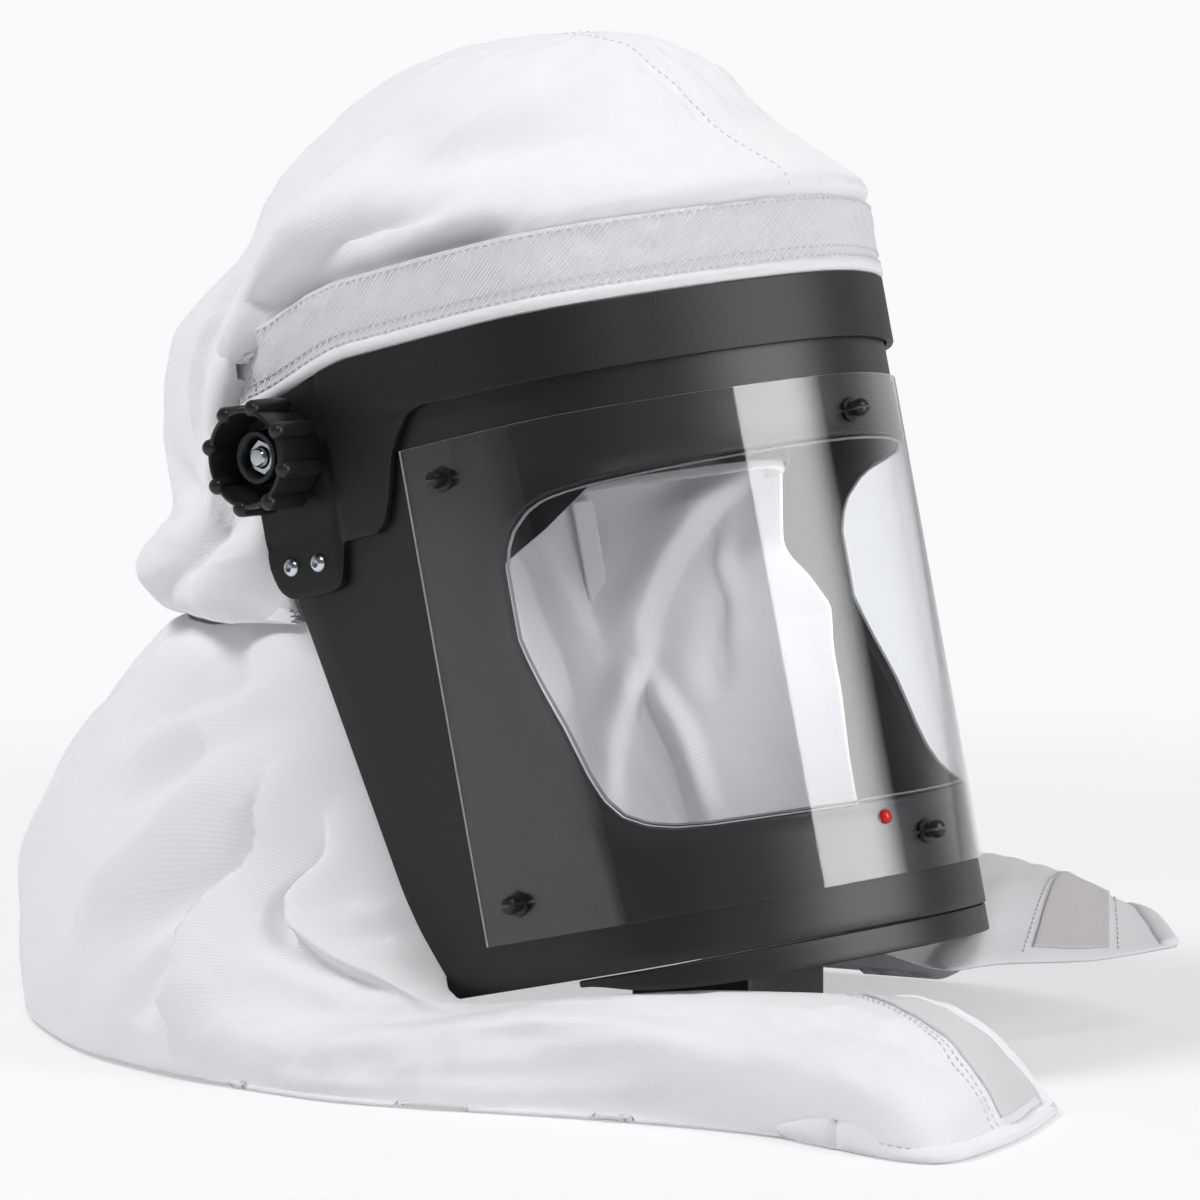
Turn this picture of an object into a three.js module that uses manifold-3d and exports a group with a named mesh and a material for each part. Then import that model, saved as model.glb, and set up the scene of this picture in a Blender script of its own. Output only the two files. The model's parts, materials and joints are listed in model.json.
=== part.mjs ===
// Powered-air respirator hood: a white cloth hood and cape on a black plastic face frame.
// Millimetres, +Z up. The wearer looks along -Y, and the wearer's left is +X.
import * as THREE from 'three';
import { mergeVertices } from 'three/addons/utils/BufferGeometryUtils.js';
import Module from 'manifold-3d';

const wasm = await Module();
wasm.setup();

// Sizes of the face frame, in its own axes: across, forward, and up along the lean
const FRAME_HALF_WIDTH = 90;
const FRAME_LEAN = 12.8 * Math.PI / 180;
const CHEEK_TAPER = 0.06;
const WINDOW_HALF_ARC = 127.5;
const FILM_HEIGHT = 155.6;
const FILM_THICKNESS = 0.8;
const FILM_STAND_OFF = 0.5;
const FILM_REAR_ARC = 160.5;
const PLATE_WALL = 3;
const PLATE_TOP = 31;
const PLATE_HEIGHT = 201;
const WINDOW_HEIGHT = 113;
const WINDOW_BELOW_FILM_TOP = 19.3;

// Sizes of the brow band and its side arms
const BROW_TOP = 32;
const BROW_HEIGHT = 20.5;
const BROW_WALL = 2.6;
const ARM_DROP = 70;
const ARM_PAST_KNOB = 16;
const ARM_ROUND_SHARE = 0.57;
const REAR_DROOP = 9;
const DROOP_RUN = 50;

// Sizes of the chin bar and the air coupling block under it
const CHIN_LIP_HEIGHT = 8.5;
const CHIN_LIP_WALL = 4.2;
const CHIN_SHELF_WALL = 2.5;
const CHIN_SHELF_HALF_ARC = 94;
const CHIN_BLOCK_WIDTH = 43;
const CHIN_BLOCK_DEPTH = 46;
const CHIN_BLOCK_FRONT = 63.5;
const CHIN_BLOCK_HEIGHT = 36.81;
const CHIN_BLOCK_ROUND = 2.5;

// Sizes of the fasteners
const STUD_RADIUS = 2.8;
const STUD_LENGTH = 7.5;
const STUD_SLOT = 1.1;
const STUD_HOLE_RADIUS = 4.1;
const STUD_EDGE_INSET = 11.5;
const STUD_SIDE_ARC = 144.5;
const BEAD_RADIUS = 2.1;
const BEAD_ARC = 17;
const BEAD_LEVEL = -137.5;
const SCREW_HEAD_RADIUS = 3;
const SCREW_HEAD_HEIGHT = 1.9;
const SCREW_SOCKET_RADIUS = 1.3;
const KNOB_ARC = 206;
const KNOB_LEVEL = 7.3;
const KNOB_RADIUS = 16.2;
const KNOB_HEIGHT = 19.5;
const KNOB_LOBES = 8;
const KNOB_LOBE_RADIUS = 2.8;
const KNOB_CUP_DEPTH = 13;
const KNOB_WALL = 2.2;
const KNOB_CLEARANCE = 4;
const HUB_RADIUS = 8.4;
const HUB_WALL = 1.9;
const HUB_RISE = 7.5;
const BOLT_RADIUS = 3;
const BOLT_HEAD_RADIUS = 6;
const BOLT_HEAD_HEIGHT = 3;
const NUT_ACROSS_FLATS = 10;
const NUT_HEIGHT = 4.6;

// Sizes of the head harness inside the hood
const HARNESS_HALF_WIDTH = 74;
const HARNESS_HALF_LENGTH = 78;
const HARNESS_CENTRE = -35;
const HARNESS_TOP = 8;
const HARNESS_HEIGHT = 28;
const HARNESS_WALL = 2;
const HARNESS_ARM_HEIGHT = 24;
const HARNESS_ARM_ROOT = 18;
const HARNESS_CLIP_TURN = 68;
const HARNESS_CLIP_SPREAD = 26;
const HARNESS_CLIP_DROP = 20;
const SWEATBAND_WALL = 2.4;
const HARNESS_GAP = 0.85;
const SWEATBAND_DROP = 2.5;

// Sizes of the cloth
const CLOTH = 1.8;
const BAND_GAP = 1.3;
const ARM_BACK = 86;
const BAND_HEIGHT = 20;
const BINDING_HEIGHT = 4.5;
const BAND_SEAM = BROW_TOP + BINDING_HEIGHT + BAND_HEIGHT;
const CROWN_RISE = 187;
const CROWN_HALF_WIDTH = 106;
const CROWN_REAR = 178;
const CROWN_HEM_DROP = 62;
const CROWN_CUT_FORE = 4.5;
const CAPE_HALF_WIDTH = 140;
const CAPE_REAR = 226;
const CAPE_FRONT = 194;
const CAPE_NECK_DROP = 2.2;
const CAPE_RUN = 900;
const CAPE_FALL = 130;
const PATCH_WALL = 1.2;
const PATCH_LIFT = 0.6;
const INNER_CLOTH_TOP = -10;
const INNER_CLOTH_DROP = 128;
const INNER_CLOTH_GAP = 0.9;
const INNER_CLOTH_INSET = 5;
const INNER_CLOTH_WALL = 1.3;
const INNER_CLOTH_END = 250;
const TAPE_WIDTH = 8;
const TAPE_LENGTH = 46;
const TAPE_WALL = 0.8;
const TAPE_TURN = 118;
const GAP = 0.35;

// Arcs and levels that follow from the sizes above
const ARM_REAR_ARC = KNOB_ARC + ARM_PAST_KNOB;
const DROOP_START_ARC = ARM_REAR_ARC - DROOP_RUN;
const CHIN_LEVEL = PLATE_TOP - PLATE_HEIGHT - CHIN_SHELF_WALL - 2 * GAP;
const CHIN_FORWARD = (CHIN_BLOCK_FRONT + CHIN_LEVEL * Math.sin(FRAME_LEAN)) / Math.cos(FRAME_LEAN);
const CHIN_RISE = CHIN_FORWARD * Math.sin(FRAME_LEAN) + CHIN_LEVEL * Math.cos(FRAME_LEAN);
const FILM_TOP_LEVEL = CHIN_BLOCK_HEIGHT - CHIN_RISE;
const CROWN_HEM_LEVEL = FILM_TOP_LEVEL - CROWN_HEM_DROP;

const materials = {
  clothWhite: { color: 0xeeeef2, roughness: 0.9, metalness: 0 },
  bandTwill: { color: 0xe3e3e8, roughness: 0.92, metalness: 0 },
  binding: { color: 0xf2f2f5, roughness: 0.85, metalness: 0 },
  loopPile: { color: 0xd7d0d2, roughness: 1, metalness: 0 },
  hookTape: { color: 0xd7d5d8, roughness: 0.8, metalness: 0 },
  framePlastic: { color: 0x2b2c2e, roughness: 0.55, metalness: 0 },
  browPlastic: { color: 0x242426, roughness: 0.65, metalness: 0 },
  clearFilm: { color: 0xf4f8fa, roughness: 0.05, metalness: 0, transparent: true, opacity: 0.25 },
  blackPlastic: { color: 0x141415, roughness: 0.4, metalness: 0 },
  zinc: { color: 0xb9c4cf, roughness: 0.3, metalness: 1 },
  redPlastic: { color: 0xc3141c, roughness: 0.3, metalness: 0 },
  sweatbandGrey: { color: 0xa9a8aa, roughness: 0.95, metalness: 0 },
};

const lerp = (a, b, t) => a + (b - a) * t;

function smooth(t) {
  const s = Math.min(1, Math.max(0, t));
  return s * s * (3 - 2 * s);
}

// Value of a named column of a table at a place along its key column, on a smooth curve
function column(rows, key, name, at) {
  const last = rows.length - 1;
  const place = Math.min(Math.max(at, rows[0][key]), rows[last][key]);
  let i = 0;
  while (i < last - 1 && rows[i + 1][key] < place) i += 1;
  const step = rows[i + 1][key] - rows[i][key];
  const t = (place - rows[i][key]) / step;
  const slope = (k) => {
    if (k <= 0 || k >= last) return 0;
    return (rows[k + 1][name] - rows[k - 1][name]) / (rows[k + 1][key] - rows[k - 1][key]);
  };
  const t2 = t * t;
  const t3 = t2 * t;
  return rows[i][name] * (2 * t3 - 3 * t2 + 1) + slope(i) * step * (t3 - 2 * t2 + t)
    + rows[i + 1][name] * (3 * t2 - 2 * t3) + slope(i + 1) * step * (t3 - t2);
}

// The closed body that a geometry bounds, with its faces turned outwards
function closed(geometry) {
  let g = geometry.index ? geometry : mergeVertices(geometry);
  g.deleteAttribute('normal');
  g.deleteAttribute('uv');
  g = mergeVertices(g, 1e-4);
  const p = g.attributes.position.array;
  const kept = [];
  let volume = 0;
  for (let i = 0; i < g.index.count; i += 3) {
    const [a, b, c] = [0, 1, 2].map((k) => g.index.array[i + k]);
    if (a === b || b === c || c === a) continue;
    kept.push(a, b, c);
    const [A, B, C] = [a, b, c].map((k) => new THREE.Vector3().fromArray(p, 3 * k));
    volume += A.dot(B.cross(C));
  }
  if (volume < 0) {
    for (let i = 0; i < kept.length; i += 3) [kept[i + 1], kept[i + 2]] = [kept[i + 2], kept[i + 1]];
  }
  g.setIndex(kept);
  return g;
}

function toManifold(geometry) {
  const g = closed(geometry);
  return new wasm.Manifold(new wasm.Mesh({
    numProp: 3,
    vertProperties: new Float32Array(g.attributes.position.array),
    triVerts: new Uint32Array(g.index.array),
  }));
}

function fromManifold(body) {
  const mesh = body.getMesh();
  const g = new THREE.BufferGeometry();
  g.setAttribute('position', new THREE.BufferAttribute(new Float32Array(mesh.vertProperties), 3));
  g.setIndex(new THREE.BufferAttribute(new Uint32Array(mesh.triVerts), 1));
  return g;
}

function cut(geometry, cutters) {
  let body = toManifold(geometry);
  for (const cutter of cutters) body = body.subtract(toManifold(cutter));
  return fromManifold(body);
}

function join(geometries) {
  let body = toManifold(geometries[0]);
  for (const other of geometries.slice(1)) body = body.add(toManifold(other));
  return fromManifold(body);
}

// Outer wall of the frame in plan: how far it reaches at each bearing from straight ahead
const sectionRows = [
  { bearing: 0, reach: 0.951 },
  { bearing: 22.5, reach: 0.936 },
  { bearing: 45, reach: 0.966 },
  { bearing: 67.5, reach: 1.04 },
  { bearing: 90, reach: 1 },
];

// Points every half millimetre or so along the wearer's right half of that wall
const wallLine = (() => {
  const line = [];
  const steps = 260;
  for (let i = 0; i <= steps; i += 1) {
    const bearing = 90 * i / steps;
    const reach = FRAME_HALF_WIDTH * column(sectionRows, 'bearing', 'reach', bearing);
    const angle = bearing * Math.PI / 180;
    line.push({ across: reach * Math.sin(angle), forward: reach * Math.cos(angle) });
  }
  for (let back = 1; back <= 140; back += 1) {
    line.push({ across: FRAME_HALF_WIDTH - CHEEK_TAPER * back, forward: -back });
  }
  let arc = 0;
  line.forEach((point, i) => {
    if (i > 0) arc += Math.hypot(point.across - line[i - 1].across, point.forward - line[i - 1].forward);
    point.arc = arc;
  });
  return line;
})();

// Place and outward direction on the wall; a negative arc lies on the wearer's right
function wallPoint(arc, offset = 0) {
  const side = arc < 0 ? -1 : 1;
  const length = Math.abs(arc);
  let i = wallLine.findIndex((point) => point.arc > length);
  if (i < 1) i = i === 0 ? 1 : wallLine.length - 1;
  const [a, b] = [wallLine[i - 1], wallLine[i]];
  const t = (length - a.arc) / (b.arc - a.arc);
  const before = wallLine[Math.max(0, i - 5)];
  const after = wallLine[Math.min(wallLine.length - 1, i + 4)];
  const run = Math.hypot(after.across - before.across, after.forward - before.forward);
  const outAcross = -(after.forward - before.forward) / run;
  const outForward = (after.across - before.across) / run;
  return {
    x: side * (lerp(a.across, b.across, t) + offset * outAcross),
    y: -(lerp(a.forward, b.forward, t) + offset * outForward),
    out: new THREE.Vector3(side * outAcross, -outForward, 0),
  };
}

// A strip bent along the wall, from stations of arc, low edge and high edge
function wallStrip(stations, inner, outer) {
  const positions = [];
  const faces = [];
  for (const { arc, low, high } of stations) {
    const skin = wallPoint(arc, outer);
    const back = wallPoint(arc, inner);
    positions.push(skin.x, skin.y, low, skin.x, skin.y, high, back.x, back.y, high, back.x, back.y, low);
  }
  for (let i = 0; i + 1 < stations.length; i += 1) {
    for (let k = 0; k < 4; k += 1) {
      const [a, b] = [4 * i + k, 4 * i + (k + 1) % 4];
      faces.push(a, a + 4, b + 4, a, b + 4, b);
    }
  }
  const end = 4 * (stations.length - 1);
  faces.push(0, 1, 2, 0, 2, 3, end, end + 2, end + 1, end, end + 3, end + 2);
  const g = new THREE.BufferGeometry();
  g.setAttribute('position', new THREE.Float32BufferAttribute(positions, 3));
  g.setIndex(faces);
  return closed(g);
}

// Mirrors stations given on one side, so that a strip runs from ear to ear
function bothSides(rows) {
  const mirrored = rows.filter((row) => row.arc > 0).map((row) => ({ ...row, arc: -row.arc })).reverse();
  return [...mirrored, ...rows];
}

// Stations every few millimetres round the front, then the given rows along the straight cheek
function roundFront(low, high, until, rows = []) {
  const stations = [];
  const steps = Math.round(until / 9.5);
  for (let i = 0; i <= steps; i += 1) stations.push({ arc: until * i / steps, low, high });
  return [...stations, ...rows];
}

// Matrix that stands a piece on the wall: its Z points outwards and its Y up the frame
function onWall(arc, level, offset) {
  const { x, y, out } = wallPoint(arc, offset);
  const up = new THREE.Vector3(0, 0, 1);
  const across = new THREE.Vector3().crossVectors(up, out);
  return new THREE.Matrix4().makeBasis(across, up, out).setPosition(x, y, level);
}

// Solid turned about Z from points of radius and height that run from axis to axis
function turned(profile, segments) {
  const points = profile.map(([radius, height]) => new THREE.Vector2(radius, height));
  return closed(new THREE.LatheGeometry(points, segments).rotateX(Math.PI / 2));
}

function peg(radius, low, high, segments = 12) {
  const g = new THREE.CylinderGeometry(radius, radius, high - low, segments);
  return closed(g.rotateX(Math.PI / 2).translate(0, 0, (low + high) / 2));
}

function box(width, depth, height, x, y, z) {
  return closed(new THREE.BoxGeometry(width, depth, height).translate(x, y, z));
}

// Window outline: half width and the edges below the film's top, as shares of the window's size
const windowRows = [
  { out: 0, top: 0, bottom: 1 },
  { out: 0.25, top: 0.002, bottom: 0.997 },
  { out: 0.45, top: 0.008, bottom: 0.99 },
  { out: 0.59, top: 0.013, bottom: 0.985 },
  { out: 0.68, top: 0.018, bottom: 0.975 },
  { out: 0.742, top: 0.022, bottom: 0.958 },
  { out: 0.798, top: 0.028, bottom: 0.925 },
  { out: 0.84, top: 0.035, bottom: 0.87 },
  { out: 0.868, top: 0.042, bottom: 0.8 },
  { out: 0.91, top: 0.062, bottom: 0.66 },
  { out: 0.96, top: 0.106, bottom: 0.53 },
  { out: 0.985, top: 0.15, bottom: 0.455 },
  { out: 1, top: 0.205, bottom: 0.4 },
];

function windowStations() {
  const rows = windowRows.map(({ out, top, bottom }) => ({
    arc: out * WINDOW_HALF_ARC,
    high: -WINDOW_BELOW_FILM_TOP - WINDOW_HEIGHT * top,
    low: -WINDOW_BELOW_FILM_TOP - WINDOW_HEIGHT * bottom,
  }));
  const stations = [];
  rows.forEach((row, i) => {
    stations.push(row);
    const next = rows[i + 1];
    const pieces = next ? Math.round((next.arc - row.arc) / 11) : 0;
    for (let k = 1; k < pieces; k += 1) {
      const t = k / pieces;
      stations.push({ arc: lerp(row.arc, next.arc, t), high: lerp(row.high, next.high, t),
        low: lerp(row.low, next.low, t) });
    }
  });
  return bothSides(stations);
}

// Rear edge of the face plate: how far back and how low, as shares of the arm's arc and the plate
const plateRearRows = [
  { back: 0.8, low: 1 },
  { back: 0.817, low: 0.985 },
  { back: 0.836, low: 0.955 },
  { back: 0.851, low: 0.905 },
  { back: 0.97, low: 0.345 },
  { back: 0.975, low: 0.27 },
];

function plateStations(grow) {
  const high = PLATE_TOP + grow;
  const rear = plateRearRows.map(({ back, low }) => (
    { arc: back * ARM_REAR_ARC + grow, low: PLATE_TOP - PLATE_HEIGHT * low - grow, high }
  ));
  const front = windowStations().filter(({ arc }) => arc >= 0).map(({ arc }) => (
    { arc, low: PLATE_TOP - PLATE_HEIGHT - grow, high }
  ));
  return bothSides([...front, ...rear]);
}

function facePlate() {
  const bores = [-1, 1].flatMap((side) => [
    peg(BOLT_RADIUS + GAP, -12, 12).applyMatrix4(onWall(side * KNOB_ARC, KNOB_LEVEL, 0)),
  ]);
  const beadPocket = peg(BEAD_RADIUS + GAP, -1.9, 4).applyMatrix4(onWall(-BEAD_ARC, BEAD_LEVEL, 0));
  const plate = wallStrip(plateStations(0), -PLATE_WALL, 0);
  return cut(plate, [
    wallStrip(windowStations(), -3 * PLATE_WALL, 2 * PLATE_WALL),
    ...bores,
    beadPocket,
  ]);
}

function visorFilm() {
  const rear = [{ arc: FILM_REAR_ARC, low: -FILM_HEIGHT, high: 0 }];
  const sheet = wallStrip(bothSides(roundFront(-FILM_HEIGHT, 0, WINDOW_HALF_ARC, rear)),
    FILM_STAND_OFF, FILM_STAND_OFF + FILM_THICKNESS);
  const holes = studPlaces().map(({ arc, level }) => (
    peg(STUD_HOLE_RADIUS, -4, 6, 10).applyMatrix4(onWall(arc, level, 0))
  ));
  return cut(sheet, holes);
}

function studPlaces() {
  const top = -STUD_EDGE_INSET;
  const bottom = -FILM_HEIGHT + STUD_EDGE_INSET;
  return [
    { name: 'right_top', arc: -STUD_SIDE_ARC, level: top },
    { name: 'right_bottom', arc: -STUD_SIDE_ARC, level: bottom },
    { name: 'centre_top', arc: 0.001, level: top },
    { name: 'centre_bottom', arc: 0.001, level: bottom },
    { name: 'left_top', arc: STUD_SIDE_ARC, level: top },
    { name: 'left_bottom', arc: STUD_SIDE_ARC, level: bottom },
  ];
}

// A split pin that the film's hole snaps over, with a bulged head
function snapStud() {
  const foot = STUD_HOLE_RADIUS - GAP;
  const body = turned([
    [0, GAP], [foot, GAP], [foot, 0.45 * STUD_RADIUS], [0.8 * STUD_RADIUS, 0.55 * STUD_RADIUS],
    [STUD_RADIUS, 0.5 * STUD_LENGTH], [STUD_RADIUS, 0.8 * STUD_LENGTH],
    [0.7 * STUD_RADIUS, STUD_LENGTH], [0, STUD_LENGTH],
  ], 8);
  return cut(body, [box(3 * STUD_RADIUS, STUD_SLOT, STUD_LENGTH, 0, 0, 0.9 * STUD_LENGTH)]);
}

// Lower edge of the brow band and its side arm, as shares of the arm's arc and its drop
const armRows = [
  { back: 0.6, low: 0.293 },
  { back: 0.66, low: 0.28 },
  { back: 0.688, low: 0.3 },
  { back: 0.714, low: 0.38 },
  { back: 0.733, low: 0.47 },
  { back: 0.747, low: 0.62 },
  { back: 0.764, low: 0.74 },
  { back: 0.785, low: 0.79 },
  { back: 0.858, low: 0.793 },
  { back: 0.864, low: 0.94 },
  { back: 0.885, low: 0.99 },
  { back: 0.955, low: 1 },
  { back: 0.985, low: 0.965 },
  { back: 1, low: 0.88 },
];

// The cloth band dips over the arm's rear corner, and the arm's top edge with it
function rearDroop(arc) {
  return REAR_DROOP * smooth((arc - DROOP_START_ARC) / (ARM_REAR_ARC - DROOP_START_ARC));
}

function browBand() {
  const rows = armRows.map(({ back, low }) => {
    const arc = back * ARM_REAR_ARC;
    return { arc, low: BROW_TOP - ARM_DROP * low, high: BROW_TOP - rearDroop(arc) };
  });
  const front = roundFront(BROW_TOP - BROW_HEIGHT, BROW_TOP, ARM_ROUND_SHARE * ARM_REAR_ARC, rows);
  const band = wallStrip(bothSides(front), GAP, GAP + BROW_WALL);
  const bores = [-1, 1].map((side) => (
    peg(BOLT_RADIUS + GAP, -12, 12).applyMatrix4(onWall(side * KNOB_ARC, KNOB_LEVEL, 0))
  ));
  return cut(band, bores);
}

// Lip under the chin, deepest in front, with the closing shelf that carries the air coupling
const chinRows = [
  { out: 0, drop: 1 },
  { out: 0.35, drop: 1 },
  { out: 0.63, drop: 0.98 },
  { out: 0.82, drop: 0.7 },
  { out: 0.98, drop: 0.25 },
];

function chinBar() {
  const level = PLATE_TOP - PLATE_HEIGHT - GAP;
  const stations = [];
  const steps = 12;
  for (let i = 0; i <= steps; i += 1) {
    const drop = CHIN_LIP_HEIGHT * column(chinRows, 'out', 'drop', i / steps);
    stations.push({ arc: WINDOW_HALF_ARC * i / steps, low: level - drop, high: level });
  }
  const lip = wallStrip(bothSides(stations), -CHIN_LIP_WALL, -0.4);
  const inset = CHIN_LIP_WALL - 1;
  const outline = new THREE.Shape();
  const rear = 0.55 * CHIN_BLOCK_DEPTH - CHIN_FORWARD;
  const rim = [];
  for (let i = -10; i <= 10; i += 1) {
    const point = wallPoint(CHIN_SHELF_HALF_ARC * i / 10 || 0.001, -inset);
    rim.push(new THREE.Vector2(point.x, point.y));
  }
  outline.setFromPoints([...rim, new THREE.Vector2(0.45 * CHIN_BLOCK_WIDTH, rear),
    new THREE.Vector2(-0.45 * CHIN_BLOCK_WIDTH, rear)]);
  const shelf = new THREE.ExtrudeGeometry(outline, { depth: CHIN_SHELF_WALL, bevelEnabled: false });
  return join([lip, closed(shelf.translate(0, 0, level - CHIN_SHELF_WALL))]);
}

// Air coupling: an upright box that stands on the surface and closes against the leaning shelf
function chinBlock() {
  const [w, d, r] = [CHIN_BLOCK_WIDTH / 2, CHIN_BLOCK_DEPTH, CHIN_BLOCK_ROUND];
  const outline = new THREE.Shape();
  outline.moveTo(-w + r, 0);
  outline.lineTo(w - r, 0);
  outline.quadraticCurveTo(w, 0, w, r);
  outline.lineTo(w, d - r);
  outline.quadraticCurveTo(w, d, w - r, d);
  outline.lineTo(-w + r, d);
  outline.quadraticCurveTo(-w, d, -w, d - r);
  outline.lineTo(-w, r);
  outline.quadraticCurveTo(-w, 0, -w + r, 0);
  const tall = new THREE.ExtrudeGeometry(outline, {
    depth: 2 * CHIN_BLOCK_HEIGHT, bevelEnabled: false, curveSegments: 3,
  });
  tall.translate(0, -CHIN_BLOCK_FRONT, 0);
  const above = box(4 * CHIN_BLOCK_WIDTH, 6 * CHIN_BLOCK_DEPTH, 2 * PLATE_HEIGHT, 0, 0,
    CHIN_LEVEL + PLATE_HEIGHT).applyMatrix4(frameMatrix());
  return cut(closed(tall), [above]);
}

function frameMatrix() {
  return new THREE.Matrix4().makeRotationX(-FRAME_LEAN).setPosition(0, 0, FILM_TOP_LEVEL);
}

// Cup-shaped clamp knob with finger lobes, seen from outside; its axis is Z
function clampKnob() {
  const floor = KNOB_HEIGHT - KNOB_CUP_DEPTH;
  const bore = BOLT_RADIUS + GAP;
  const seat = NUT_ACROSS_FLATS / Math.sqrt(3) + GAP;
  const hubTop = floor + HUB_RISE;
  const cup = turned([
    [bore, 0], [KNOB_RADIUS - 2.4, 0], [KNOB_RADIUS - 1.2, 1.4], [KNOB_RADIUS, KNOB_HEIGHT - 1],
    [KNOB_RADIUS - 0.8, KNOB_HEIGHT], [KNOB_RADIUS - KNOB_WALL, KNOB_HEIGHT - 0.8],
    [KNOB_RADIUS - KNOB_WALL - 0.8, floor], [HUB_RADIUS, floor], [HUB_RADIUS - 0.4, hubTop],
    [HUB_RADIUS - HUB_WALL + 0.4, hubTop], [seat, hubTop - 1], [seat, floor], [bore, floor], [bore, 0],
  ], 16);
  const lobes = [];
  for (let i = 0; i < KNOB_LOBES; i += 1) {
    const angle = 2 * Math.PI * (i + 0.5) / KNOB_LOBES;
    const lobe = turned([
      [0, 0.1 * KNOB_HEIGHT], [KNOB_LOBE_RADIUS, 0.22 * KNOB_HEIGHT],
      [KNOB_LOBE_RADIUS, 0.92 * KNOB_HEIGHT], [0, KNOB_HEIGHT + 0.4],
    ], 5);
    lobes.push(lobe.translate(KNOB_RADIUS * Math.cos(angle), KNOB_RADIUS * Math.sin(angle), 0));
  }
  const cupSpace = peg(KNOB_RADIUS - KNOB_WALL - 0.1, floor, KNOB_HEIGHT + 4, 16);
  return join([cup, cut(join(lobes), [cupSpace])]);
}

function pivotBolt(inside) {
  const floor = KNOB_HEIGHT - KNOB_CUP_DEPTH;
  const tip = GAP + BROW_WALL + GAP + floor + NUT_HEIGHT + 2.4;
  return turned([
    [0, -inside - BOLT_HEAD_HEIGHT], [BOLT_HEAD_RADIUS - 1, -inside - BOLT_HEAD_HEIGHT],
    [BOLT_HEAD_RADIUS, -inside - 0.5 * BOLT_HEAD_HEIGHT], [BOLT_HEAD_RADIUS, -inside],
    [BOLT_RADIUS, -inside], [BOLT_RADIUS, tip - 0.6], [BOLT_RADIUS - 0.6, tip], [0, tip],
  ], 16);
}

function hexNut() {
  const corner = NUT_ACROSS_FLATS / Math.sqrt(3);
  const bore = BOLT_RADIUS + GAP;
  const nut = peg(corner, 0, NUT_HEIGHT, 6);
  return cut(nut, [peg(bore, -1, NUT_HEIGHT + 1, 16)]);
}

// Round-headed socket screw, seen from outside
function buttonScrew() {
  const head = turned([
    [0, 0], [SCREW_HEAD_RADIUS, 0], [SCREW_HEAD_RADIUS, 0.35 * SCREW_HEAD_HEIGHT],
    [0.6 * SCREW_HEAD_RADIUS, SCREW_HEAD_HEIGHT], [0, SCREW_HEAD_HEIGHT],
  ], 10);
  return cut(head, [peg(SCREW_SOCKET_RADIUS, 0.4 * SCREW_HEAD_HEIGHT, 2 * SCREW_HEAD_HEIGHT, 6)]);
}

// Places of the two screws in each arm's tab, as shares of the arm's arc and drop
const screwRows = [
  { name: 'front', back: 0.904, low: 0.86 },
  { name: 'rear', back: 0.957, low: 0.853 },
];

function indicatorBead() {
  return turned([
    [0, -1.6], [BEAD_RADIUS, -1.6], [BEAD_RADIUS, -0.9], [0.8 * BEAD_RADIUS, -0.2],
    [0.45 * BEAD_RADIUS, 0.2], [0, 0.3],
  ], 12);
}

// Closed band round the head, given by its radius offset and edges at each turn of the ellipse
function headRing(offset, wall, from, to, steps, edges) {
  const rings = [[], [], [], []];
  const whole = to - from >= 360;
  const count = whole ? steps : steps + 1;
  for (let i = 0; i < count; i += 1) {
    const bearing = from + (to - from) * i / steps;
    const angle = bearing * Math.PI / 180;
    const { low, high } = edges(bearing);
    const at = (grow, level) => new THREE.Vector3((HARNESS_HALF_WIDTH + grow) * Math.sin(angle),
      -HARNESS_CENTRE - (HARNESS_HALF_LENGTH + grow) * Math.cos(angle), level);
    rings[0].push(at(offset + wall, low));
    rings[1].push(at(offset + wall, high));
    rings[2].push(at(offset, high));
    rings[3].push(at(offset, low));
  }
  return tube(rings, whole);
}

// Skins a four-cornered bar from its four corner lines
function tube(rings, whole) {
  const n = rings[0].length;
  const positions = [];
  for (let i = 0; i < n; i += 1) for (const ring of rings) positions.push(...ring[i].toArray());
  const faces = [];
  const last = whole ? n : n - 1;
  for (let i = 0; i < last; i += 1) {
    for (let k = 0; k < 4; k += 1) {
      const [a, b] = [4 * i + k, 4 * i + (k + 1) % 4];
      const [c, d] = [4 * ((i + 1) % n) + k, 4 * ((i + 1) % n) + (k + 1) % 4];
      faces.push(a, c, d, a, d, b);
    }
  }
  const end = 4 * (n - 1);
  if (!whole) faces.push(0, 1, 2, 0, 2, 3, end, end + 2, end + 1, end, end + 3, end + 2);
  const g = new THREE.BufferGeometry();
  g.setAttribute('position', new THREE.Float32BufferAttribute(positions, 3));
  g.setIndex(faces);
  return closed(g);
}

const SWEATBAND_HALF_TURN = 55;

// Length along the wall to the place that lies so far forward
function arcAtForward(forward) {
  return wallLine.find((point) => point.forward <= forward).arc;
}

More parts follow.
